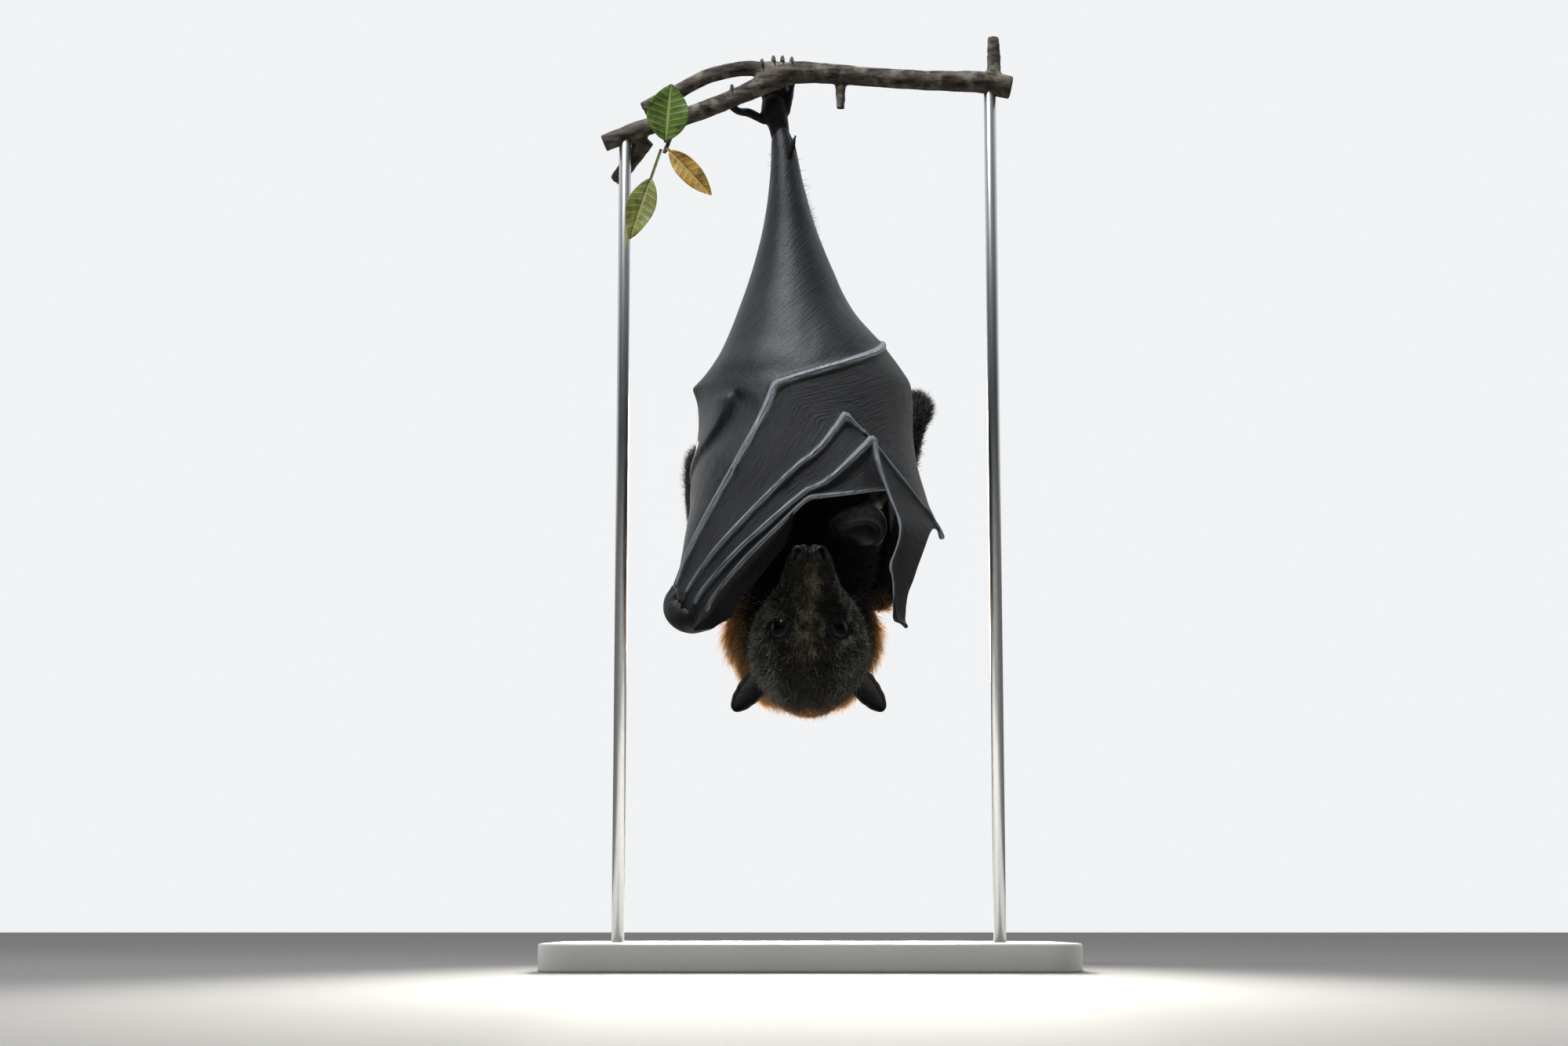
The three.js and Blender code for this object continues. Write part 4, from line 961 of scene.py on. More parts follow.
def wing_mesh(name, panels, tubes, material, cords=(), gap=0.0):
    """One piece from skin panels, bone tubes and cords, with a uv map in metres of skin for the grain. A second
    value runs from -1, painted shade, to 1, a painted highlight over a bone. Tubes and cords get the highlight
    only where they face outwards, and a gap of 1 paints shade into the hollow behind the hand."""
    bones = [bone_tube(tube) for tube in tubes] + list(cords)
    points, quads, triangles = join_parts([(p, q, []) for p, q, _ in panels] + bones)
    tube_points = points[sum(len(p) for p, _, _ in panels):]
    # tubes and cords carry a painted highlight, except the knobs low at the right
    dark_knob = (tube_points[:, 0] > 30) * step(52, 44, body_place(tube_points)[2])
    on_tubes = np.column_stack([0 * tube_points[:, :2], 0.7 * (1 - dark_knob)])
    values = np.concatenate([value for _, _, value in panels] + [on_tubes])
    # painted shade: a gap of 1 sets the hollow behind the hand to -1, dark and dull
    painted_highlight_and_shade = mix(values[:, 2], -1, gap * painted_shade_behind_hand(points))
    mesh = build_mesh(name, points, quads, triangles)
    # the painted highlight stays on the outward side of each tube
    facing = (read(mesh.vertices, "normal", 3) * unit((points - [0, 15, 0]) * [1, 1, 0])).sum(-1)
    pale_tube = (np.arange(len(points)) >= len(points) - len(tube_points)) & (painted_highlight_and_shade > 0)
    painted_highlight_and_shade = np.where(pale_tube, painted_highlight_and_shade * step(-0.3, 0.2, facing), painted_highlight_and_shade)
    store_uv(mesh, "grain", values[:, :2])
    store_value(mesh, "painted_highlight_and_shade", np.clip(painted_highlight_and_shade, -1, 1))
    return make_piece(name, mesh, material)


def cut(name, start, end):
    """Part of a finger's chain between two shares of its length."""
    return along(CHAIN[name], np.linspace(start, end, 30))


def arm_flap(side):
    """Sheet between the lines of the upper arm and the forearm, a little clear of both."""
    arm = np.array(UPPER_ARM[side])[::-1, :3]
    fore = np.array(FOREARM[side])[:, :3]
    reach = 0.95 if side == "right" else 0.72
    down, share = np.meshgrid(np.linspace(0.1, reach, 40), np.linspace(0.08, 0.96, 30), indexing="ij")
    points = mix(along(arm, down), along(fore, down), share[..., None])
    points[..., 2] += LIFT + 8 * share * (1 - share) * down + 0.25 * noise(points, 6, 9)
    points[..., 0] += SIDES[side] * 1.5
    inner = points - [SIDES[side] * SKIN_SHEET, 0, 0]
    if side == "left":
        points, inner = inner, points
    flat = points.reshape(-1, 3)
    # painted shade over the whole flap
    values = np.column_stack([flat[:, 1:] * MM, np.full(len(flat), FLAP_SHADE)])
    return *sandwich(points, inner), np.concatenate([values, values])


# %% [markdown]
# The membrane's skin is thin, nearly hairless and dark grey, like fine glove leather that has been oiled:
# a satin face with a tight grain of tiny cells, and faint lines of elastic fibres that run with the bones.
# A painted highlight lies over the bones. The grain is drawn about twice as coarse as the real one, so
# that it shows at this size.

# %% Wing skin
def wing_skin_material(name, dark, light, fibre_relief, pore_relief):
    """Thin bare skin: mottled charcoal, with pores and fibre lines in the relief. It has a painted highlight
    over the bones, where the lines are calmer, and painted shade, darker and dull, where its value is below 0."""
    material, shader = new_material(name, dark, 0.42, Specular_IOR_Level=0.5)
    place = object_place(material)
    uv = add_node(material, "UVMap", uv_map="grain")
    fibres_place = add_node(material, "Mapping", {"Vector": uv, "Scale": (1, 0.1, 1)})
    bone = add_node(material, "Attribute", attribute_name="painted_highlight_and_shade").outputs["Fac"]
    blotch = add_node(material, "TexNoise", {"Vector": place, "Scale": per(14), "Detail": 4.0})
    lines = add_node(material, "TexNoise", {"Vector": fibres_place, "Scale": per(1.1), "Detail": 4.0})
    calm = add_node(material, "MapRange", {
        "Value": bone, "From Min": 0.1, "From Max": 0.7, "To Min": 0.0, "To Max": 0.3})
    fibres = add_node(material, "Mix", {"Factor": calm, 2: lines, 3: 0.58}, data_type="FLOAT")
    pores = add_node(material, "TexNoise", {"Vector": place, "Scale": per(0.45), "Detail": 3.0})
    colour = add_node(material, "ValToRGB", {"Fac": blotch}, [(0.3, dark), (0.7, light)])
    # painted highlight: pale colour over the bones
    pale = add_node(material, "ValToRGB", {"Fac": bone}, [(0.05, 0), (0.8, 1)])
    over = add_node(material, "Mix", {"Factor": pale, 6: colour, 7: "#c4cdd4"}, data_type="RGBA")
    shade = add_node(material, "ValToRGB", {"Fac": fibres}, [(0.38, "#606060"), (0.62, 1)])
    mixed = add_node(material, "Mix", {"Factor": 1.0, 6: over, 7: shade}, **MULTIPLY)
    # painted shade: towards -1 the colour falls to 4 percent and the finish turns dull
    shadow = add_node(material, "MapRange", {
        "Value": bone, "From Min": -1.0, "From Max": 0.0, "To Min": 0.04, "To Max": 1.0})
    deep = add_node(material, "Mix", {"Factor": 1.0, 6: mixed, 7: shadow}, **MULTIPLY)
    gloss = add_node(material, "MapRange", {"Value": pores, "To Min": 0.36, "To Max": 0.6})
    dull = add_node(material, "MapRange", {
        "Value": bone, "From Min": -1.0, "From Max": 0.0, "To Min": 1.0, "To Max": 0.0})
    rough = add_node(material, "Math", {0: gloss, 1: dull}, operation="MAXIMUM")
    relief = add_node(material, "Bump", {"Height": fibres, "Distance": fibre_relief * MM})
    relief = add_node(material, "Bump", {"Height": pores, "Distance": pore_relief * MM, "Normal": relief})
    connect(shader, {"Base Color": deep, "Roughness": rough, "Normal": relief})
    return material


wing_skin = wing_skin_material("bat_wing_skin", "#12161b", "#282d34", 0.16, 0.13)
# a darker copy of the wing skin with deeper fibre lines: its darkness is painted shade
painted_shade_wing_skin = wing_skin_material("bat_wing_skin_painted_shade", "#080a0d", "#191e24", 0.9, 0.5)
RIGHT_BONES = ["right_2", "right_3", "right_4", "right_5"]
LEFT_BONES = ["left_3", "left_4", "left_5"]
CROSS_FOUR, CROSS_THREE = 0.69, 0.545

right_arm_wing = wing_mesh("right_arm_wing", [
    skin_panel(panel(RIGHT_BACK_LINE, RIGHT_FREE_EDGE, 170, 150, settle=3, raised=tent), ["right_5"]),
    arm_flap("right"),
], [], wing_skin)
right_hand_wing = wing_mesh("right_hand_wing", [
    skin_panel(panel(cut("right_5", 0, 1), cut("right_4", 0, 1), 130, 84, sag=0.8), RIGHT_BONES),
    skin_panel(panel(cut("right_4", 0, CROSS_FOUR), cut("right_3", 0, CROSS_THREE), 120, 44, sag=0.6),
               RIGHT_BONES),
    skin_panel(panel(cut("right_4", CROSS_FOUR, 1), cut("right_3", CROSS_THREE, 1), 90, 50, hollow=0.28),
               RIGHT_BONES),
    skin_panel(panel(cut("right_3", 0, 0.6), cut("right_2", 0, 1), 120, 44, sag=0.4), RIGHT_BONES),
    # the thumb panel gets painted shade
    skin_panel(panel(cut("right_2", 0, 0.62), THUMB_EDGE, 90, 36), ["right_2"], shaded=1.0),
], RIGHT_BONES, painted_shade_wing_skin, [
    edge_cord("right_5", -1.9, 0.8, 0.04, 0.68), edge_cord("right_5", 0, 1.2, 0.69, 0.99),
    edge_cord("right_4", 0.9, 0.7, 0.66, 0.99),
])
left_wing = wing_mesh("left_wing", [
    skin_panel(panel(LEFT_BACK_LINE, LEFT_FREE_EDGE, 110, 120, settle=4,
                     raised=lambda phi, z: tent(phi, z) * 0.7), ["left_5"]),
    skin_panel(panel(cut("left_5", 0, 1), cut("left_4", 0, 1), 70, 24), LEFT_BONES),
    skin_panel(panel(cut("left_4", 0, 1), cut("left_3", 0, 1), 70, 24), LEFT_BONES),
    arm_flap("left"),
], LEFT_BONES, painted_shade_wing_skin, gap=1.0)
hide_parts("right_arm_membrane", "right_front_flap")
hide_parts("right_membrane_5_4", "right_membrane_4_3", "right_membrane_tip",
            "right_membrane_3_2", "right_thumb_membrane", "right_finger_2", "right_finger_3",
            "right_finger_4", "right_finger_5")
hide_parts("left_arm_membrane", "left_membrane_5_4", "left_membrane_4_3", "left_front_flap",
            "left_finger_3", "left_finger_4", "left_finger_5")
for piece in (right_arm_wing, right_hand_wing, left_wing):
    print(piece.name, len(piece.data.polygons), "faces")

# %% [markdown]
# ## The skin as one piece
# Torso, hands, head, lids and nostrils now become one mesh with one material. Its colour is worked out
# from each point's place on the body, and the same function later colours the fur, so that skin and coat
# carry the same markings and painted shade. A second value says how bare a point is, from furred to naked.

# %% Markings
UNDER_FUR = 0.15


def blend_colors(base, *layers):
    """Base colour with layers of colour and weight laid over it in order. The base may be a hex code."""
    base = tint(base) if isinstance(base, str) else base
    for code, weight in layers:
        base = mix(base, tint(code), weight[..., None])
    return base


def painted_shade_in_hollow(points):
    """1 in the hollow in front of the throat, which gets near-black painted shade; 0 on the open mantle."""
    x, y, height = body_place(points)
    beside_head = step(26, 34, height) * step(28, 23, np.abs(x))
    return step(34, 22, y) * np.maximum(step(49, 58, height) * step(52, 45, np.abs(x)), beside_head)


def coat_colour_with_painted_shade(points):
    """Linear colour of the coat at places on the body, from the head's frame and the height.
    Head: dark crown, olive-grey grizzle down the forehead, grey cheeks, brown fringe at the crown's edge.
    Mantle: golden orange round neck and shoulders. Back and legs: dark grey-brown.
    In the hollow in front of the throat: near-black painted shade."""
    x, throat, muzzle = split(to_head(points))
    wide, height = np.abs(x), body_place(points)[2]
    grain = noise(points, 5, 21)
    # no golden colour in the hollow in front of the throat, where shade is painted instead
    golden = step(92, 70, height + 4 * grain) * (1 - painted_shade_in_hollow(points))
    base = blend_colors("#3a342f", ("#4b4540", 0.5 + 0.5 * grain),
                        ("#2a2622", step(0, 0.8, noise(points, 14, 22))),
                        ("#cf9440", golden), ("#ecb868", golden * step(-0.2, 0.9, grain)))
    neck_edge = -24 - 12 * step(6, -5, throat) + 5 * grain - 0.014 * x ** 2
    head_place = step(neck_edge - 4, neck_edge + 6, muzzle - np.maximum(throat - 8, 0) * 0.9)
    head_place = head_place * step(-46, -38, muzzle - 0.4 * throat)
    grey = blend_colors("#211f1a", ("#33332e", step(-0.3, 0.8, grain) * step(9, 17, wide)),
                        ("#3d3a26", step(7.5, 3, wide) * step(-12, -4, muzzle) * (throat < 0)),
                        ("#12110d", step(-10, -22, muzzle)))
    fringe = step(-40, -46, muzzle) * step(12, 2, throat)
    # painted shade: near black in the hollow in front of the throat, outside the head
    return blend_colors(mix(base, grey, head_place[..., None]), ("#5c4220", fringe * 0.6),
                        ("#0f0d0b", painted_shade_in_hollow(points) * (1 - head_place)))


def bareness(points):
    """1 on naked skin: nose, lips, lids, hands and toes; 0 under the coat."""
    local = to_head(points)
    x, throat, muzzle = split(local)
    nose = step(29, 30.6, muzzle + 0.35 * np.maximum(5 - np.abs(x), 0))
    nose = nose * (np.linalg.norm(local - [0, 0, 30], axis=-1) < 16)
    lids = step(4.8, 3.9, from_eyes(local)) * (throat < 2)
    hands = [step(16, 12, distance_to(points, np.array(rows)[:, :3] + [0, 0, LIFT])) * (points[..., 1] < -24)
             for rows in WRIST.values()]
    return np.maximum.reduce([nose, lids, *hands, step(267, 271, body_place(points)[2])])


def bare_color(points):
    """Linear colour of naked skin: charcoal, paler on the nose, and nearly black round the eyes and on the
    ears.
    The left hand has a painted highlight on its upper side and painted shade on its lower side."""
    local = to_head(points)
    muzzle = local[..., 2]
    x, y, height = body_place(points)
    painted_light_on_left_hand = (x > 5) * (x < 38) * (y < -28) * (height > 66) * (height < 96)
    return blend_colors("#1a1c1f", ("#242322", step(28, 32, muzzle)), ("#080706", step(8, 6, from_eyes(local))),
                        ("#0e0d0c", step(-20, -27, muzzle) * step(60, 50, height)),
                        # painted highlight on the left hand's upper side, painted shade on its lower side
                        ("#4a5057", painted_light_on_left_hand * step(83, 88, height)),
                        ("#050505", painted_light_on_left_hand * step(84, 78, height)))


def paint(mesh, points, bare_all=False):
    """Stores the skin's colour and bareness at a mesh's points as attributes that its material reads. Under
    fur the skin has a darker shade of the coat's own colour, and behind the left hand that dark colour is
    painted shade."""
    naked = np.ones(len(points)) if bare_all else bareness(points)
    # painted shade: behind the left hand the skin is not bare, so it takes the dark under-fur colour and finish
    naked = naked * (1 - painted_shade_behind_hand(points) * step(32, 35, points[:, 0]))
    store_color(mesh, "coat_color", mix(coat_colour_with_painted_shade(points) * UNDER_FUR, bare_color(points), naked[:, None]))
    store_value(mesh, "bare", naked)


def skin_material():
    """Living skin of a bat: nearly black and finely wrinkled where bare, dull and coat-coloured under fur."""
    material, shader = new_material("bat_skin", "#1a1918", 0.5, Specular_IOR_Level=0.3)
    coat = add_node(material, "Attribute", attribute_name="coat_color")
    bare = add_node(material, "Attribute", attribute_name="bare").outputs["Fac"]
    tone = add_node(material, "TexNoise", {"Vector": object_place(material), "Scale": per(3), "Detail": 5.0})
    uneven = add_node(material, "ValToRGB", {"Fac": tone}, [(0.3, "#a0a0a0"), (0.7, 1)])
    mixed = add_node(material, "Mix", {"Factor": 1.0, 6: coat, 7: uneven}, **MULTIPLY)
    gloss = add_node(material, "MapRange", {"Value": bare, "To Min": 0.85, "To Max": 0.46})
    wrinkles = add_node(material, "TexNoise", {
        "Vector": object_place(material, (0.45, 1, 1)), "Scale": per(0.9), "Detail": 4.0})
    relief = add_node(material, "Bump", {"Height": wrinkles, "Distance": 0.22 * MM})
    relief = add_node(material, "Bump", {"Height": tone, "Distance": 0.3 * MM, "Normal": relief})
    connect(shader, {"Base Color": mixed, "Roughness": gloss, "Normal": relief})
    return material


skin_parts = join_parts([torso_skin, hand_skin, (head_points, head_quads, []), *face_parts])
skin_mesh = build_mesh("body_skin", *skin_parts)
paint(skin_mesh, skin_parts[0])
bat_skin = skin_material()
body_skin = make_piece("body_skin", skin_mesh, bat_skin)
LIMBS = ("thigh", "shank", "foot", "upper_arm", "forearm", "wrist", "thumb")
FLESH = ["head", "lower_jaw", "nose", "neck", "trunk", *TOES] + [
    f"{side}_{part}" for side in SIDES for part in LIMBS]
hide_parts(*FLESH)
print("skin:", len(skin_mesh.polygons), "faces")

# %% [markdown]
# ## Eyes
# A flying-fox's eye shows almost no white: a large dark brown iris round a small pupil, wet and curved.
# The eyeball is a full ball behind the lids, with the cornea standing a little proud of it. Its colours
# are rings round the axis, so they are stored on its points.

# %% Eyeballs
EYE_RINGS, EYE_SIDES = 72, 96


def eyeball_mesh(name, side):
    """Ball whose radius grows by a low bell at the cornea, coloured by the angle from its axis."""
    polar = np.linspace(0.01, np.pi - 0.01, EYE_RINGS)[:, None]
    turn = full_turn(EYE_SIDES)[None]
    radius = EYE_RADIUS + 0.45 * bell(polar, 0.55)
    axis, corner, across = eye_frame(side)
    flat = np.cos(turn)[..., None] * corner + np.sin(turn)[..., None] * across
    local = eye_centre(side) + (radius * np.cos(polar))[..., None] * axis \
        + (radius * np.sin(polar))[..., None] * flat
    mesh = build_mesh(name, *closed_rings(to_world(local)))
    angle = np.repeat([0, *polar[:, 0], np.pi], EYE_SIDES)
    around = np.pad(np.tile(turn[0], EYE_RINGS), EYE_SIDES)
    fibre = 0.5 + 0.5 * np.sin(around * 41 + 3 * np.sin(around * 7)) * np.sin(around * 13)
    store_color(mesh, "iris", blend_colors(
        "#080403", ("#140b06", fibre * step(0.2, 0.5, angle) * 0.8), ("#060302", step(0.58, 0.7, angle)),
        ("#020101", step(0.24, 0.19, angle))))
    return mesh


def eye_material():
    """Wet cornea over a brown iris: colour from the point's ring, with a clear coat for the tear film."""
    material, shader = new_material("wet_brown_eye", "#2b180c", 0.25, Coat_Weight=0.16, Coat_Roughness=0.02,
                                    IOR=1.38, Specular_IOR_Level=0.05)
    iris = add_node(material, "Attribute", attribute_name="iris")
    depth = add_node(material, "TexNoise", {"Vector": object_place(material), "Scale": per(0.5), "Detail": 2.0})
    gloss = add_node(material, "MapRange", {"Value": depth, "To Min": 0.15, "To Max": 0.3})
    connect(shader, {"Base Color": iris, "Roughness": gloss})
    return material


wet_eye = eye_material()
for name, side in SIDES.items():
    ball = make_piece(f"eyeball_{name}", eyeball_mesh(f"eyeball_{name}", side), wet_eye)
    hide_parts(f"eye_{name}")

# %% [markdown]
# ## Ears
# The ears are bare, black and pointed. They start as a funnel on the side of the head and narrow to the
# tip: each ring is an arc that is open to the front, and a rim of skin rolls over its edge.

# %% Ear cups
EAR_ROOT, EAR_TIP, EAR_WIDTH, EAR_WALL = [18.5, -2.5, -26.5], [34, 1.6, -49.5], 12.4, 1.0


def ear_mesh(name, side):
    """Rings of arcs from root to tip: half the width is (width / 2) * sqrt(1 - ((t - 0.3) / 0.7)^2)."""
    root, tip = np.array(EAR_ROOT) * [side, 1, 1], np.array(EAR_TIP) * [side, 1, 1]
    ahead = unit(tip - root)
    out = np.array([side * 0.55, 0.35, 0.6])
    out = unit(out - ahead * (out @ ahead))
    back = np.cross(ahead, out)
    open_way = -back if back[1] > 0 else back
    t = np.sin(np.linspace(0, np.pi / 2, 70))[:, None]
    half = EAR_WIDTH / 2 * np.sqrt(1 - ((t - 0.3) / 0.7002) ** 2)
    angle = np.radians(np.linspace(-105, 105, 40))[None]
    centre = root + (tip - root) * t[..., None]

    def arc(radius):
        ripple = 1 + 0.02 * np.sin(t * 30 + angle * 2)
        return centre + out * (np.sin(angle) * radius * ripple)[..., None] \
            - open_way * (np.cos(angle) * radius * 0.55)[..., None]

    points, quads = sandwich(to_world(arc(half)), to_world(arc(half - np.minimum(EAR_WALL, half * 0.7))))
    mesh = build_mesh(name, points, outward(points, quads))
    paint(mesh, points, bare_all=True)
    return mesh


for name, side in SIDES.items():
    ear = make_piece(f"ear_cup_{name}", ear_mesh(f"ear_cup_{name}", side), bat_skin)
    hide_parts(f"ear_{name}")

# %% [markdown]
# ## Claws
# Five strong claws hook over the branch and carry the whole weight without effort, because a tendon locks
# them. Each is a curved horn that narrows to a point, deeper than it is wide, with a faint growth line.

# %% Claw horns
def claw_mesh(name, stations):
    """Horn along stations: round at its root, pinched in x towards its point."""
    share = np.linspace(0, 1, 60)
    rows = curve(stations, share)
    rows[:, 3] = rows[:, 3] * (1 + 0.03 * np.sin(share * 40))
    pinch = np.where([1, 0, 0], mix(1, 0.72, share)[:, None, None], 1)
    offset = circles(rows[:, :3], 20) * rows[:, 3, None, None] * pinch
    return build_mesh(name, *closed_rings(rows[:, None, :3] + offset + [0, 0, LIFT]))


def claw_material():
    """Horn: near black, smooth and lightly polished, with fine lines along it."""
    material, shader = new_material("black_horn", "#191716", 0.4, Coat_Weight=0.1, Coat_Roughness=0.2)
    lines = add_node(material, "TexNoise", {
        "Vector": object_place(material, (1, 0.2, 0.2)), "Scale": per(0.4), "Detail": 3.0})
    colour = add_node(material, "ValToRGB", {"Fac": lines}, [(0.35, "#0c0b0a"), (0.7, "#221d19")])
    relief = add_node(material, "Bump", {"Height": lines, "Distance": 0.05 * MM})
    connect(shader, {"Base Color": colour, "Normal": relief})
    return material


horn = claw_material()
for name, (x, side, low, top) in TOES.items():
    stations = [[side, TOE_DEPTH - 0.8, top + 1.6, 1.75], [side, TOE_DEPTH - 2.2, top + CLAW_RISE - 2, 1.5],
                [side, 3.4, top + CLAW_RISE, 1.25], [side, -1.4, top + CLAW_RISE - 0.8, 0.9],
                [side, -5, top + CLAW_RISE - 3.8, 0.3]]
    claw = make_piece(f"{name}_horn", claw_mesh(f"{name}_horn", stations), horn)
    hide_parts(f"{name}_claw")

# %% [markdown]
# ## How the coat is made
# Real fur would be millions of hairs. A sculptor of museum models lays it on as small tufts, and so does
# this script: each tuft is a thin curved wedge, closed at its root, that starts under the skin and lies
# along the body. Tufts overlap like thatch. They are made in big arrays: all roots first, then all points
# of all tufts at once.

# %% Roots and tufts
TUFT_RINGS, TUFT_PATCH = 2, 0.003


def scatter(points, quads, count, density):
    """Places and normals on a surface: triangles are drawn by area times density, and a place in each by
    two random numbers that are folded into the triangle."""
    corners = points[np.concatenate([quads[:, [0, 1, 2]], quads[:, [0, 2, 3]]])]
    cross = np.cross(corners[:, 1] - corners[:, 0], corners[:, 2] - corners[:, 0])
    weight = np.linalg.norm(cross, axis=1) * density(corners.mean(axis=1))
    chosen = rng.choice(len(weight), count, p=weight / weight.sum())
    u, v = rng.random(count), rng.random(count)
    u, v = np.where(u + v > 1, 1 - u, u)[:, None], np.where(u + v > 1, 1 - v, v)[:, None]
    a, b, c = (corners[chosen, k] for k in range(3))
    return a + (b - a) * u + (c - a) * v, unit(cross[chosen])


def tuft_mesh(name, roots, normals, lie, length, width, rise, root_color, tip_color, unwrap):
    """Mesh of tufts. A centre line leaves the skin at a slope and bends back towards it: along the lie by
    t - 0.12 t^2, and off the skin by rise * (t - 0.45 t^2). Its section is a low triangle that narrows as
    (1 - t)^0.7. The uv of a tuft is a small patch at its root's place on the unwrap."""
    count = len(roots)
    lie = unit(lie - normals * (lie * normals).sum(-1, keepdims=True))
    side = np.cross(lie, normals)
    swing = 0.4 * noise(roots, 3.2, 31) + 0.7 * noise(roots, 1.6, 32) + 0.16 * rng.standard_normal(count)
    lie = unit(lie + side * swing[:, None])
    side = np.cross(lie, normals)
    bend = 0.25 * rng.standard_normal(count)[:, None]
    t = np.linspace(0, 1, TUFT_RINGS + 1)[None, :-1, None]

    def middle(t):
        off = rise[:, None, None] * (t - 0.45 * t ** 2)
        return roots[:, None] + length[:, None, None] * (
            lie[:, None] * (t - 0.12 * t ** 2) + side[:, None] * bend[:, None] * t ** 2
        ) + normals[:, None] * (off - 0.25 * (1 - t))

    half = width[:, None, None] / 2 * (1 - t) ** 0.7
    centre = middle(t)
    section = np.stack([
        centre - side[:, None] * half, centre + side[:, None] * half, centre + normals[:, None] * half * 0.8,
    ], axis=2).reshape(count, -1, 3)
    points = np.concatenate([section, middle(np.ones((1, 1, 1)))], axis=1)
    point, last = points.shape[1] - 1, (TUFT_RINGS - 1) * 3
    start = np.arange(count)[:, None, None] * (point + 1)
    edges = ((0, 1), (1, 2), (2, 0))
    quads = np.array([[k * 3 + a, k * 3 + b, k * 3 + 3 + b, k * 3 + 3 + a]
                      for k in range(TUFT_RINGS - 1) for a, b in edges])
    triangles = np.array([[2, 1, 0]] + [[last + a, last + b, point] for a, b in edges])
    mesh = build_mesh(name, points.reshape(-1, 3), quads + start, triangles + start)
    share = np.append(np.repeat(t.ravel(), 3), 1.0)
    blend = mix(root_color[:, None], tip_color[:, None], step(0, 0.45, share)[None, :, None])
    store_color(mesh, "coat_color", blend.reshape(-1, 3))
    patch = np.stack([share, np.append(np.tile([0, 1, 0.5], TUFT_RINGS), 0.5)], axis=-1) * TUFT_PATCH
    place = np.clip(unwrap, 0.002, 0.995)[:, None] * 0.996 + patch
    store_uv(mesh, "OFBake", place.reshape(-1, 2))
    return mesh


def fur_material():
    """Dense matt fur: the tuft's own colour, a little uneven. The paler a hair is, the more light comes
    through it from behind."""
    material, shader = new_material("bat_fur", "#3a342f", 0.62, Specular_IOR_Level=0.3)
    coat = add_node(material, "Attribute", attribute_name="coat_color")
    fine = add_node(material, "TexNoise", {"Vector": object_place(material), "Scale": per(0.8), "Detail": 2.0})
    shade = add_node(material, "ValToRGB", {"Fac": fine}, [(0.3, "#b4b4b4"), (0.7, 1)])
    mixed = add_node(material, "Mix", {"Factor": 1.0, 6: coat, 7: shade}, **MULTIPLY)
    relief = add_node(material, "Bump", {"Height": fine, "Distance": 0.15 * MM})
    connect(shader, {"Base Color": mixed, "Normal": relief})
    through = add_node(material, "BsdfTranslucent", {"Color": mixed})
    share = add_node(material, "MapRange", {
        "Value": coat, "From Min": 0.1, "From Max": 0.45, "To Min": 0.0, "To Max": 0.7})
    both = add_node(material, "MixShader", {"Fac": share, 1: shader, 2: through})
    connect(material.node_tree.nodes["Material Output"], {"Surface": both})
    return material


fur = fur_material()


def lay_coat(name, slot, pieces, unwrap, **tufts):
    """Coat in several pieces. The tufts are split by their place on the unwrap, and each piece's part of the
    unwrap is stretched to fill its own map."""
    order = np.argsort(unwrap[:, 1])
    for number, chosen in enumerate(np.array_split(order, pieces), 1):
        flat = unwrap[chosen]
        low, high = flat.min(axis=0), flat.max(axis=0)
        flat = (flat - low) / np.maximum(high - low, 1e-6)
        title = f"{name}_{number}"
        mesh = tuft_mesh(title, unwrap=flat, **{key: values[chosen] for key, values in tufts.items()})
        piece = make_piece(title, mesh, fur)
        print(title, len(chosen), "tufts")


# %% [markdown]
# ## The head's coat
# Fur on the head lies from the nose back over the crown and the cheeks. One vector field does that: the
# way from each place towards a point far behind the neck, kept square to the normal. Short close hair
# on the muzzle grows into deep fur on the cheeks and crown.

# %% Head tufts
FUR_SINK = np.array([0, 40, -60])
HEAD_TUFTS = 60000


def inside_body(points, table, shrink):
    """True where a point is more than shrink inside the level ovals of a body table."""
    x, y, height = body_place(points)
    _, half, near, far, middle = split(smooth_table(table, height))
    across = (x - middle) / np.maximum(half - shrink, 1)
    deep = (y - (near + far) / 2) / np.maximum((far - near) / 2 - shrink, 1)
    return (across ** 2 + deep ** 2 < 1) & (height > table[0, 0] + shrink) & (height < table[-1, 0] - shrink)


def inside_head(points, shrink):
    """True where a point is more than shrink inside the head's outline."""
    x, y, place = split(to_head(points))
    _, half, forehead, throat = split(smooth_table(HEAD, place))
    tall = np.where(y < 0, forehead, throat)
    across, deep = x / np.maximum(half - shrink, 0.5), y / np.maximum(tall - shrink, 0.5)
    return (across ** 2 + deep ** 2 < 1) & (place > HEAD[0, 0] + shrink) & (place < HEAD[-1, 0] - shrink)


def head_density(points):
    """More tufts where the coat is short, none on bare skin or inside the neck."""
    depth = head_coat_depth(to_head(points))
    wanted = 1 / (0.35 + 0.25 * depth)
    return wanted * (bareness(points) < 0.4) * ~inside_body(points, NECK, COAT_DEPTH["neck"] + 2)


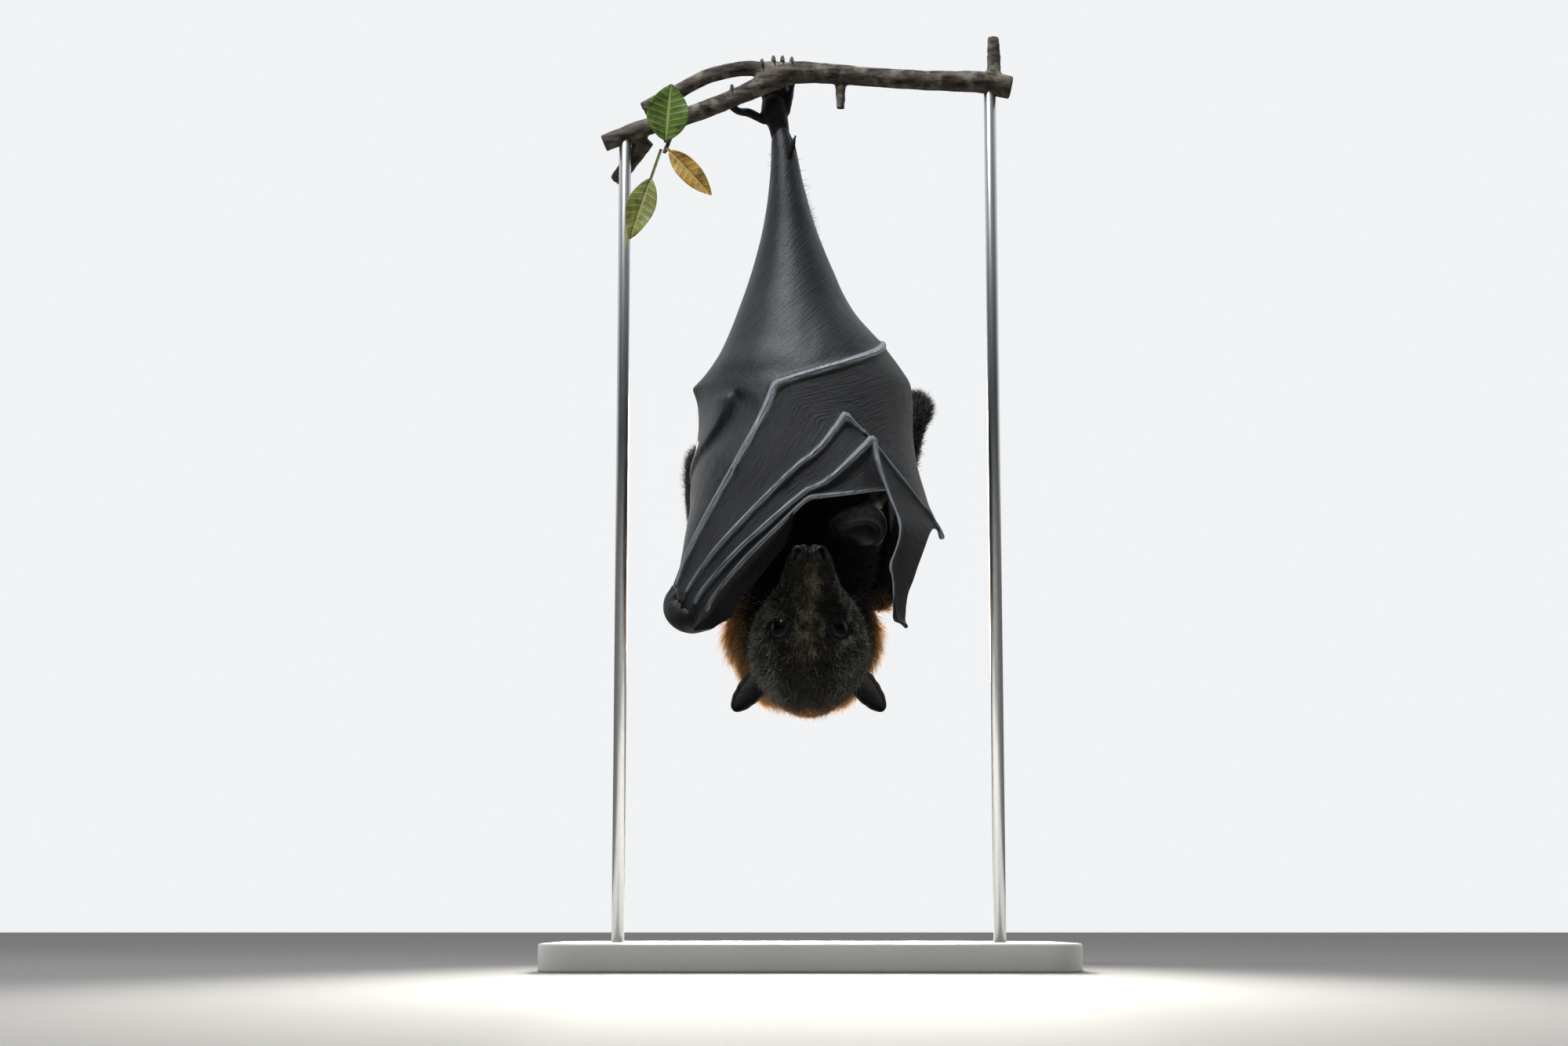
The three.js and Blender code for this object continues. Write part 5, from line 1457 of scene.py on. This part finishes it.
roots, normals = scatter(head_points, head_quads, HEAD_TUFTS, head_density)
local = to_head(roots)
depth = head_coat_depth(local)
count = len(roots)
long_hair = 1 + 0.5 * (rng.random(count) < 0.06)
length = (1.4 + 1.5 * depth) * rng.uniform(0.7, 1.25, count) * long_hair
length = length * (1 + 0.25 * step(8, 15, np.abs(local[:, 0])))
width = 0.2 + 0.05 * depth * rng.uniform(0.7, 1.3, count)
rise = 0.2 + 0.9 * depth * rng.uniform(0.6, 1.15, count)
root_color = coat_colour_with_painted_shade(roots) * 0.35
strands = noise(roots * [1, 1, 0.45], 1.7, 43)
tip_color = coat_colour_with_painted_shade(roots) * rng.uniform(0.6, 1.5, (count, 1)) * np.exp(1.3 * strands)[:, None]
wide = np.abs(local[:, 0])
cheek = step(7, 14, wide) * step(-40, -20, local[:, 2])
brow = bell(local[:, 2] - 1, 6)
streak = step(5.5 + 5 * brow, 2 + 3 * brow, wide) * step(-12, -4, local[:, 2]) * step(29, 20, local[:, 2])
streak = streak * (local[:, 1] < 0)
locks = 0.5 + 0.7 * noise(roots, 3, 41) + 1.2 * strands
pale = rng.random(count) < (0.06 + 0.5 * cheek + 0.7 * streak) * np.clip(locks, 0.05, 1.8)
pale_color = mix(tint("#f0f0e6"), tint("#e6e0c4"), np.maximum(streak, 0.2)[:, None])
tip_color = np.where(pale[:, None], pale_color * rng.uniform(0.4, 1.2, (count, 1)), tip_color)
rim = (local[:, 1] < 8) & (rng.random(count) < step(-37, -43, local[:, 2]))
tip_color = np.where(rim[:, None], tint("#f0cc86") * rng.uniform(0.5, 1.2, (count, 1)), tip_color)
around = np.arctan2(local[:, 1], local[:, 0]) / (2 * np.pi) + 0.5
unwrap = np.stack([around, (local[:, 2] - HEAD[0, 0]) / np.ptp(HEAD[:, 0])], axis=-1)
lie = (FUR_SINK - local) @ HEAD_AXES
lay_coat("head_coat", "head_fur", 4, unwrap, roots=roots, normals=normals, lie=lie, length=length,
         width=width, rise=rise, root_color=root_color, tip_color=tip_color)

# %% [markdown]
# ## The body's coat
# The golden mantle stands out round the neck, the back carries long dark fur that lies towards the tail,
# and the thighs and elbows have a woolly fuzz. Fur is only grown where the wings leave the body open.

# %% Body tufts
BODY_TUFTS = 76000


def body_depth(points):
    """Depth of the coat under the outline by part: deep on neck and back, short on shanks and forearms."""
    height = body_place(points)[2]
    depth = np.full(points.shape[:-1], 7.0)
    for side in SIDES:
        for table, amount in ((SHANK, 6), (FOREARM, 1.6), (UPPER_ARM, 4.5)):
            line = curve(table[side], np.linspace(0, 1, 24))[:, :3] + [0, 0, LIFT]
            thick = max(row[3] for row in table[side])
            depth = mix(depth, amount, step(thick * 1.3, thick * 0.9, distance_to(points, line)))
    return mix(depth, mix(7, 9.5, step(8, 40, height)), step(90, 60, height) * (depth > 6))


def open_body(points):
    """True where no wing covers the body: behind both wings' back edges, or below their lower edges."""
    x, y, height = body_place(points)
    _, left, right, _, _, middle, _ = split(smooth_table(BUNDLE, height))
    aside = x - (left + right) / 2
    phi = np.degrees(np.arctan2(aside, middle - y))
    right_back, left_back = (
        np.interp(height, *np.array(rows)[::-1, 1::-1].T) for rows in (RIGHT_BACK_LINE, LEFT_BACK_LINE))
    behind = (phi > np.where(height > 178, 84, left_back) - 14) | (phi < right_back + 14)
    return behind | (np.abs(aside) > (right - left) / 2 + 0.5) | (height < 96)


def body_density(points):
    """Tufts per area: by the coat's depth, none on bare skin, under the wings or inside the head."""
    x, y, height = body_place(points)
    wanted = 1 / (0.5 + 0.12 * body_depth(points))
    free = open_body(points) & ~inside_head(points, 7) & (bareness(points) < 0.4)
    front_hidden = (height > 66) & (y < -14) & (np.abs(x) < 44)
    return wanted * free * np.where(front_hidden, 0.15, 1)


roots, normals = scatter(torso_skin[0], torso_skin[1], BODY_TUFTS, body_density)
depth = body_depth(roots)
count = len(roots)
height = body_place(roots)[2]
length = (1.2 + 1.25 * depth) * rng.uniform(0.7, 1.25, count)
width = 0.18 + 0.038 * depth * rng.uniform(0.7, 1.3, count)
rise = 0.3 + 0.8 * depth * rng.uniform(0.5, 1.2, count)
# painted shade: in the hollow in front of the throat the tufts get no golden or grizzled tips
painted_hollow_shade = painted_shade_in_hollow(roots)
mantle = step(100, 74, height + 9 * noise(roots, 9, 44)) * (1 - painted_hollow_shade)
lie = np.zeros((count, 3))
lie[:, 2] = 1
width = width * (1 - 0.25 * mantle)
stands_out = step(66, 40, height) * step(42, 18, roots[:, 1])
lie = mix(lie, normals * [0.6, 0.6, 0] + [0, 0.1, -0.6], stands_out[:, None])
lie = lie + 0.5 * rng.standard_normal((count, 3)) * (1 - mantle[:, None])
root_color = coat_colour_with_painted_shade(roots) * mix(0.6, 0.95, mantle)[:, None]
tip_color = coat_colour_with_painted_shade(roots) * rng.uniform(0.8, 1.5, (count, 1))
golden = rng.random(count)[:, None]
tip_color = mix(tip_color, mix(tint("#f0b45c"), tint("#fff0c4"), golden), (mantle * 0.9)[:, None])
# painted shade: the mantle's tips are darker towards the back, where the lamp behind lights them
tip_color = tip_color * (1 - 0.45 * mantle * step(15, 40, roots[:, 1]))[:, None]
grizzled = (rng.random(count) < 0.16) & (mantle < 0.4) & (painted_hollow_shade < 0.5)
tip_color = np.where(grizzled[:, None], tint("#8d857b") * rng.uniform(0.5, 1.1, (count, 1)), tip_color)
around = np.arctan2(roots[:, 1] - 15, roots[:, 0]) / (2 * np.pi) + 0.5
unwrap = np.stack([around, height / 300], axis=-1)
lay_coat("body_coat", "body_fur", 5, unwrap, roots=roots, normals=normals, lie=lie, length=length,
         width=width, rise=rise, root_color=root_color, tip_color=tip_color)

# %% [markdown]
# ## Branch
# The perch is a freshly cut branch of a gum tree: rough bark with shallow cracks that run along it, lichen
# grey on top, and pale wood at the cut ends. The branch, its fork and its stubs are tubes that are merged
# into one surface as the body was, and the bark's ridges are then pushed out of it, because they show in
# its outline.

# %% Perch
BRANCH = [
    [-95, 0, 267.3, 4], [-76.8, 0, 274.6, 4.3], [-58.6, 0, 279.6, 4.2], [-40.3, 0, 286.8, 4.3],
    [-26, 0, 293, 4.5], [-16, 0, 298.8, 5.6], [-6, 0, 301.4, 5.4], [10, 0, 301, 4.7],
    [25.6, 0, 299.6, 4.7], [43.9, 0, 298.4, 4.7], [62.2, 0, 297.6, 4.8], [80.5, 0, 297, 5.3],
    [95.2, 0, 294.2, 5.4],
]
SIDE_BRANCH = [
    [-5, 0.5, 301.6, 4.6], [-20, 1, 303.6, 3.8], [-33.1, 2, 303.8, 3.6], [-47.7, 3, 300.4, 3.6],
    [-62.3, 3, 292.4, 3.6], [-76.9, 3, 284.6, 3.8],
]
STUBS = [
    [[15.3, 0, 297, 3], [15.3, 0, 284, 2]], [[87, 0, 297, 3.4], [87, 0, 319, 2.8]],
    [[-75, 2, 270, 4.2], [-90, 12, 252.5, 3.4]], [[-61, -1, 278, 1.8], [-66.6, -6.6, 260.4, 1.2]],
]


def blunt(stations, steps, sides=20):
    """Tube with flat ends through stations: a sawn length of wood."""
    rows = curve(stations, np.linspace(0, 1, steps))
    return closed_rings(rows[:, None, :3] + circles(rows[:, :3], sides) * rows[:, 3, None, None] + [0, 0, LIFT])


perch_parts = [blunt(BRANCH, 90), blunt(SIDE_BRANCH, 50), *[blunt(stub, 14) for stub in STUBS]]
points, quads, _ = merged_skin("perch_wood", perch_parts, voxel=0.9, smoothing=3)
perch_mesh = build_mesh("perch_looks", points, quads)
normals = read(perch_mesh.vertices, "normal", 3)
bark_place = points * [0.28, 1, 1]
bark_height = 0.5 * np.abs(noise(bark_place, 2.6, 11)) ** 0.7 + 0.35 * noise(points, 7, 12) \
    + 0.12 * noise(points, 1.6, 13)
end_distance = np.minimum(points[:, 0] + 95, 95.2 - points[:, 0])
points = points + normals * ((bark_height - 0.35) * 0.75 * step(0.2, 2.5, end_distance))[:, None]
perch_mesh.vertices.foreach_set("co", (points * MM).astype(np.float32).ravel())
perch_mesh.update()


def bark_material():
    """Rough bark: cracks along the branch, lichen specks, darker in the cracks, fully matt."""
    material, shader = new_material("gum_bark", "#5a5048", 0.92)
    cracks = add_node(material, "TexNoise", {
        "Vector": object_place(material, (0.22, 1, 1)), "Scale": per(2.4), "Detail": 8.0})
    lichen = add_node(material, "TexNoise", {"Vector": object_place(material), "Scale": per(6), "Detail": 6.0})
    colour = add_node(material, "ValToRGB", {"Fac": cracks}, [
        (0.3, "#17120f"), (0.75, "#7a6f64"), (0.52, "#43392f")])
    pale = add_node(material, "ValToRGB", {"Fac": lichen}, [(0.52, 0), (0.66, 1)])
    mixed = add_node(material, "Mix", {"Factor": pale, 6: colour, 7: "#83806f"}, data_type="RGBA")
    relief = add_node(material, "Bump", {"Height": cracks, "Distance": 0.9 * MM})
    connect(shader, {"Base Color": mixed, "Normal": relief})
    return material


perch = make_piece("perch_branch", perch_mesh, bark_material())
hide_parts("perch")
print("perch:", len(perch_mesh.polygons), "faces")

# %% [markdown]
# ## Leaves
# Three leaves hang from the twig. A leaf is a blade half a millimetre thick: a grid whose width
# follows a curve from stalk to tip, folded a little along its midrib and wavy at its margin.

# %% Leaf blades
LEAVES = {
    "leaf_round": dict(start=[-66, -7.4, 265.6], end=[-63.5, -9.5, 293], half=9.8, stalk=0.04, color="#5f7f22"),
    "leaf_yellow": dict(start=[-65, -7.6, 262.6], end=[-44.5, -9, 240], half=5.2, stalk=0.06, color="#c59b38"),
    "leaf_long": dict(start=[-68, -5.6, 263], end=[-82, -8, 219.5], half=6.6, stalk=0.34, color="#8d9440"),
}
LEAF_SHEET, STALK_HALF = 0.5, 0.45


def leaf_mesh(name, start, end, half, stalk):
    """Blade on a grid: half * sin(pi * along^0.85)^0.75 wide, folded up from its midrib, with side veins as
    shallow ridges. A stalk narrows it before the blade starts."""
    start, end = np.array(start) + [0, 0, LIFT], np.array(end) + [0, 0, LIFT]
    ahead = unit(end - start)
    wide = unit(np.cross(ahead, [0.0, 1.0, 0.0]))
    out = np.cross(wide, ahead)
    out = out if out[1] < 0 else -out
    down, across = np.meshgrid(np.linspace(0, 1, 64), np.linspace(-1, 1, 33), indexing="ij")
    blade = np.clip((down - stalk) / (1 - stalk), 0, 1)
    width = half * np.sin(np.pi * np.clip(blade, 0.001, 0.995) ** 0.85) ** 0.75 \
        + STALK_HALF * (1 - step(0, 0.1, blade))
    middle = start + (end - start) * down[..., None]
    out_share = np.abs(across)
    veins = 0.16 * np.cos(2 * np.pi * (blade * 9 - 0.8 * out_share)) * (1 - out_share) * out_share
    rib = 0.35 * bell(across * width, 0.5)
    wave = 0.5 * np.sin(blade * 11) * across ** 2 * np.sign(across)
    height = 0.22 * np.abs(across) * width + veins - rib + wave
    face = middle + wide * (across * width)[..., None] + out * height[..., None]
    points, quads = sandwich(face, face - out * LEAF_SHEET)
    mesh = build_mesh(name, points, outward(points, quads))
    store_uv(mesh, "blade", np.concatenate([np.stack([across, blade], axis=-1).reshape(-1, 2)] * 2))
    return mesh


def leaf_material(name, color):
    """Living leaf: waxy face, paler veins and darker blotches."""
    material, shader = new_material(name + "_blade", color, 0.5, Subsurface_Weight=0.1,
                                    Subsurface_Scale=0.001, Coat_Weight=0.15, Coat_Roughness=0.4)
    uv = add_node(material, "UVMap", uv_map="blade")
    axes = add_node(material, "SeparateXYZ", {"Vector": uv})
    side = add_node(material, "Math", {0: axes.outputs["X"]}, operation="ABSOLUTE")
    lean = add_node(material, "Math", {0: side, 1: -0.09, 2: axes.outputs["Y"]}, operation="MULTIPLY_ADD")
    vein = add_node(material, "Math", {0: lean, 1: 9.0}, operation="MULTIPLY")
    vein = add_node(material, "Math", {0: vein, 1: 0.5}, operation="PINGPONG")
    pale = add_node(material, "ValToRGB", {"Fac": vein}, [(0.0, 0.35), (0.14, 0)])
    rib = add_node(material, "ValToRGB", {"Fac": side}, [(0.03, 0.7), (0.1, 0)])
    both = add_node(material, "Math", {0: pale, 1: rib}, operation="MAXIMUM")
    spots = add_node(material, "TexNoise", {"Vector": object_place(material), "Scale": per(4), "Detail": 5.0})
    dark = (*(c * 0.45 for c in linear(color)[:3]), 1.0)
    blade = add_node(material, "ValToRGB", {"Fac": spots}, [(0.35, dark), (0.55, color)])
    mixed = add_node(material, "Mix", {"Factor": both, 6: blade, 7: "#c9c98a"}, data_type="RGBA")
    relief = add_node(material, "Bump", {"Height": both, "Distance": 0.2 * MM})
    connect(shader, {"Base Color": mixed, "Normal": relief})
    return material


for name, shape in LEAVES.items():
    color = shape.pop("color")
    blade = make_piece(name + "_blade", leaf_mesh(name + "_blade", **shape), leaf_material(name, color))
    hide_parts(name)

# %% [markdown]
# ## Stand
# A museum would hold the branch on two slim stainless rods and a low painted base, which draw no
# attention. The rods are turned smooth at their collars and the base has soft bevelled edges.

# %% Rods and base
def lathe(name, profile, x, y, sides=48):
    """Turned piece round an upright axis: a profile of radius and height carried round it."""
    radius, height = np.array(profile, float).T[..., None]
    turn = full_turn(sides)
    return build_mesh(name, *closed_rings(
        np.stack([x + radius * np.cos(turn), y + radius * np.sin(turn), height + 0 * turn], axis=-1)))


def steel_material():
    """Drawn stainless steel: fine lines along the rod, a clean satin reflection."""
    material, shader = new_material("satin_stainless_steel", "#c3c5c6", 0.3, Metallic=1.0)
    lines = add_node(material, "TexNoise", {
        "Vector": object_place(material, (1, 1, 0.02)), "Scale": per(0.35), "Detail": 3.0})
    gloss = add_node(material, "MapRange", {"Value": lines, "To Min": 0.24, "To Max": 0.4})
    relief = add_node(material, "Bump", {"Height": lines, "Distance": 0.02 * MM})
    connect(shader, {"Roughness": gloss, "Normal": relief})
    return material


def base_paint_material():
    """Sprayed off-white lacquer on aluminium: an even, slightly pebbled satin coat."""
    material, shader = new_material("satin_white_lacquer", "#e6e4de", 0.42)
    place = object_place(material)
    spray = add_node(material, "TexNoise", {"Vector": place, "Scale": per(1.2), "Detail": 2.0})
    tone = add_node(material, "TexNoise", {"Vector": place, "Scale": per(60), "Detail": 2.0})
    colour = add_node(material, "ValToRGB", {"Fac": tone}, [(0.3, "#e2e0da"), (0.7, "#e9e7e2")])
    relief = add_node(material, "Bump", {"Height": spray, "Distance": 0.03 * MM})
    connect(shader, {"Base Color": colour, "Normal": relief})
    return material


steel = steel_material()
for side in SIDES:
    low, high = (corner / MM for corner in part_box(f"stand_rod_{side}"))
    x, radius = (low.x + high.x) / 2, (high.x - low.x) / 2
    foot = [[radius, low.z], [radius, high.z - 0.6], [radius - 0.5, high.z]]
    rod = make_piece(f"rod_{side}", lathe(f"rod_{side}", foot, x, (low.y + high.y) / 2), steel)
    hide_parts(f"stand_rod_{side}")
low, high = (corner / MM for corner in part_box("stand_base"))
BASE_CORNER, BASE_BEVEL, CORNER_POINTS = 16, 1, 13
quarter = np.linspace(0, np.pi / 2, CORNER_POINTS)
turn = np.concatenate([quarter + k * np.pi / 2 for k in range(4)])
half_way = turn.reshape(4, CORNER_POINTS)[:, CORNER_POINTS // 2]
signs = np.repeat(np.sign([np.cos(half_way), np.sin(half_way)]), CORNER_POINTS, axis=1)
centre = signs.T * [high.x - BASE_CORNER, high.y - BASE_CORNER]
bend = np.linspace(0, np.pi / 2, 6)
inset = np.concatenate([BASE_BEVEL * (1 - np.sin(bend)), BASE_BEVEL * (1 - np.cos(bend))])
level = np.concatenate([low.z + BASE_BEVEL * (1 - np.cos(bend)), high.z - BASE_BEVEL * (1 - np.sin(bend))])
ring = np.stack([np.cos(turn), np.sin(turn)], axis=-1)
outline = centre[None] + ring[None] * (BASE_CORNER - inset)[:, None, None]
rings = np.concatenate([outline, np.broadcast_to(level[:, None, None], (*outline.shape[:2], 1))], axis=-1)
base = make_piece("base_plate", build_mesh("base_plate", *closed_rings(rings)), base_paint_material())
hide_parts("stand_base")

# %% [markdown]
# ## Studio
# A pale floor and a world that is brightest behind the model give soft even light, like an overcast sky.
# One lamp in front and above models the face and the wing, and a small one behind makes the mantle glow.

# %% Floor, lights and camera
floor_mesh = build_mesh("studio_floor", np.array([
    [-4000.0, -4000, 0], [4000, -4000, 0], [4000, 4000, 0], [-4000, 4000, 0]]), [[0, 1, 2, 3]])
floor_material, floor_shader = new_material("studio_paper", "#d9d8d4", 0.9)
floor_tone = add_node(floor_material, "TexNoise", {
    "Vector": object_place(floor_material), "Scale": per(900), "Detail": 2.0})
connect(floor_shader, {"Base Color": add_node(
    floor_material, "ValToRGB", {"Fac": floor_tone}, [(0.3, "#7f7e7c"), (0.7, "#858482")])})
floor = bpy.data.objects.new("studio_floor", floor_mesh)
floor_mesh.materials.append(floor_material)
bpy.context.scene.collection.objects.link(floor)

world = bpy.data.worlds.new("studio")
world.use_nodes = True
SKY_BEHIND, SKY_ABOVE, SKY_BELOW = 0.95, 0.35, 0.03
direction = add_node(world, "TexCoord").outputs["Generated"]
axes = add_node(world, "SeparateXYZ", {"Vector": direction})
behind, above = (
    add_node(world, "MapRange", {"Value": axes.outputs[axis], "From Min": low, "From Max": high,
                                 "To Min": 0, "To Max": top}, interpolation_type="SMOOTHSTEP")
    for axis, low, high, top in [("Y", -0.45, 0.3, SKY_BEHIND - SKY_BELOW), ("Z", 0.05, 0.9, SKY_ABOVE)])
brightest = add_node(world, "Math", {0: behind, 1: above}, operation="MAXIMUM")
total = add_node(world, "Math", {0: brightest, 1: SKY_BELOW}, operation="ADD")
connect(world.node_tree.nodes["Background"], {"Strength": total, "Color": "#f6f8fa"})
bpy.context.scene.world = world
bpy.context.scene.view_settings.view_transform = "Standard"


def lamp(name, place, target, power_watts, width, color, spread=180):
    """Square area lamp that looks from a place to a target, both in millimetres, with a spread in degrees."""
    light = bpy.data.lights.new(name, "AREA")
    light.energy, light.size, light.color = power_watts, width * MM, linear(color)[:3]
    light.spread = math.radians(spread)
    holder = bpy.data.objects.new(name, light)
    place, target = np.array(place) * MM, np.array(target) * MM
    holder.rotation_euler = Vector(unit(target - place)).to_track_quat("-Z", "Y").to_euler()
    holder.location = place
    bpy.context.scene.collection.objects.link(holder)
    return holder


lamp("key", [-230, -300, 1030], [0, 0, 250], 6.5, 150, "#f6f8ff")
lamp("glow", [0, 430, 240], [0, 0, 160], 2.3, 200, "#fffaf0", spread=40)

CAMERA_TARGET = np.array([-11.07, 0, 200.6])
CAMERA_RISE = math.radians(8.6)
CAMERA_DISTANCE = 1200
CAMERA_LENS, SENSOR_WIDTH, CAMERA_NEAR = 60.48, 36, 0.05
camera_data = bpy.data.cameras.new("camera")
camera_data.lens, camera_data.sensor_width, camera_data.clip_start = CAMERA_LENS, SENSOR_WIDTH, CAMERA_NEAR
camera = bpy.data.objects.new("camera", camera_data)
place = CAMERA_TARGET + CAMERA_DISTANCE * np.array([0, -math.cos(CAMERA_RISE), -math.sin(CAMERA_RISE)])
camera.location = place * MM
camera.rotation_euler = (math.pi / 2 + CAMERA_RISE, 0, 0)
bpy.context.scene.collection.objects.link(camera)
bpy.context.scene.camera = camera
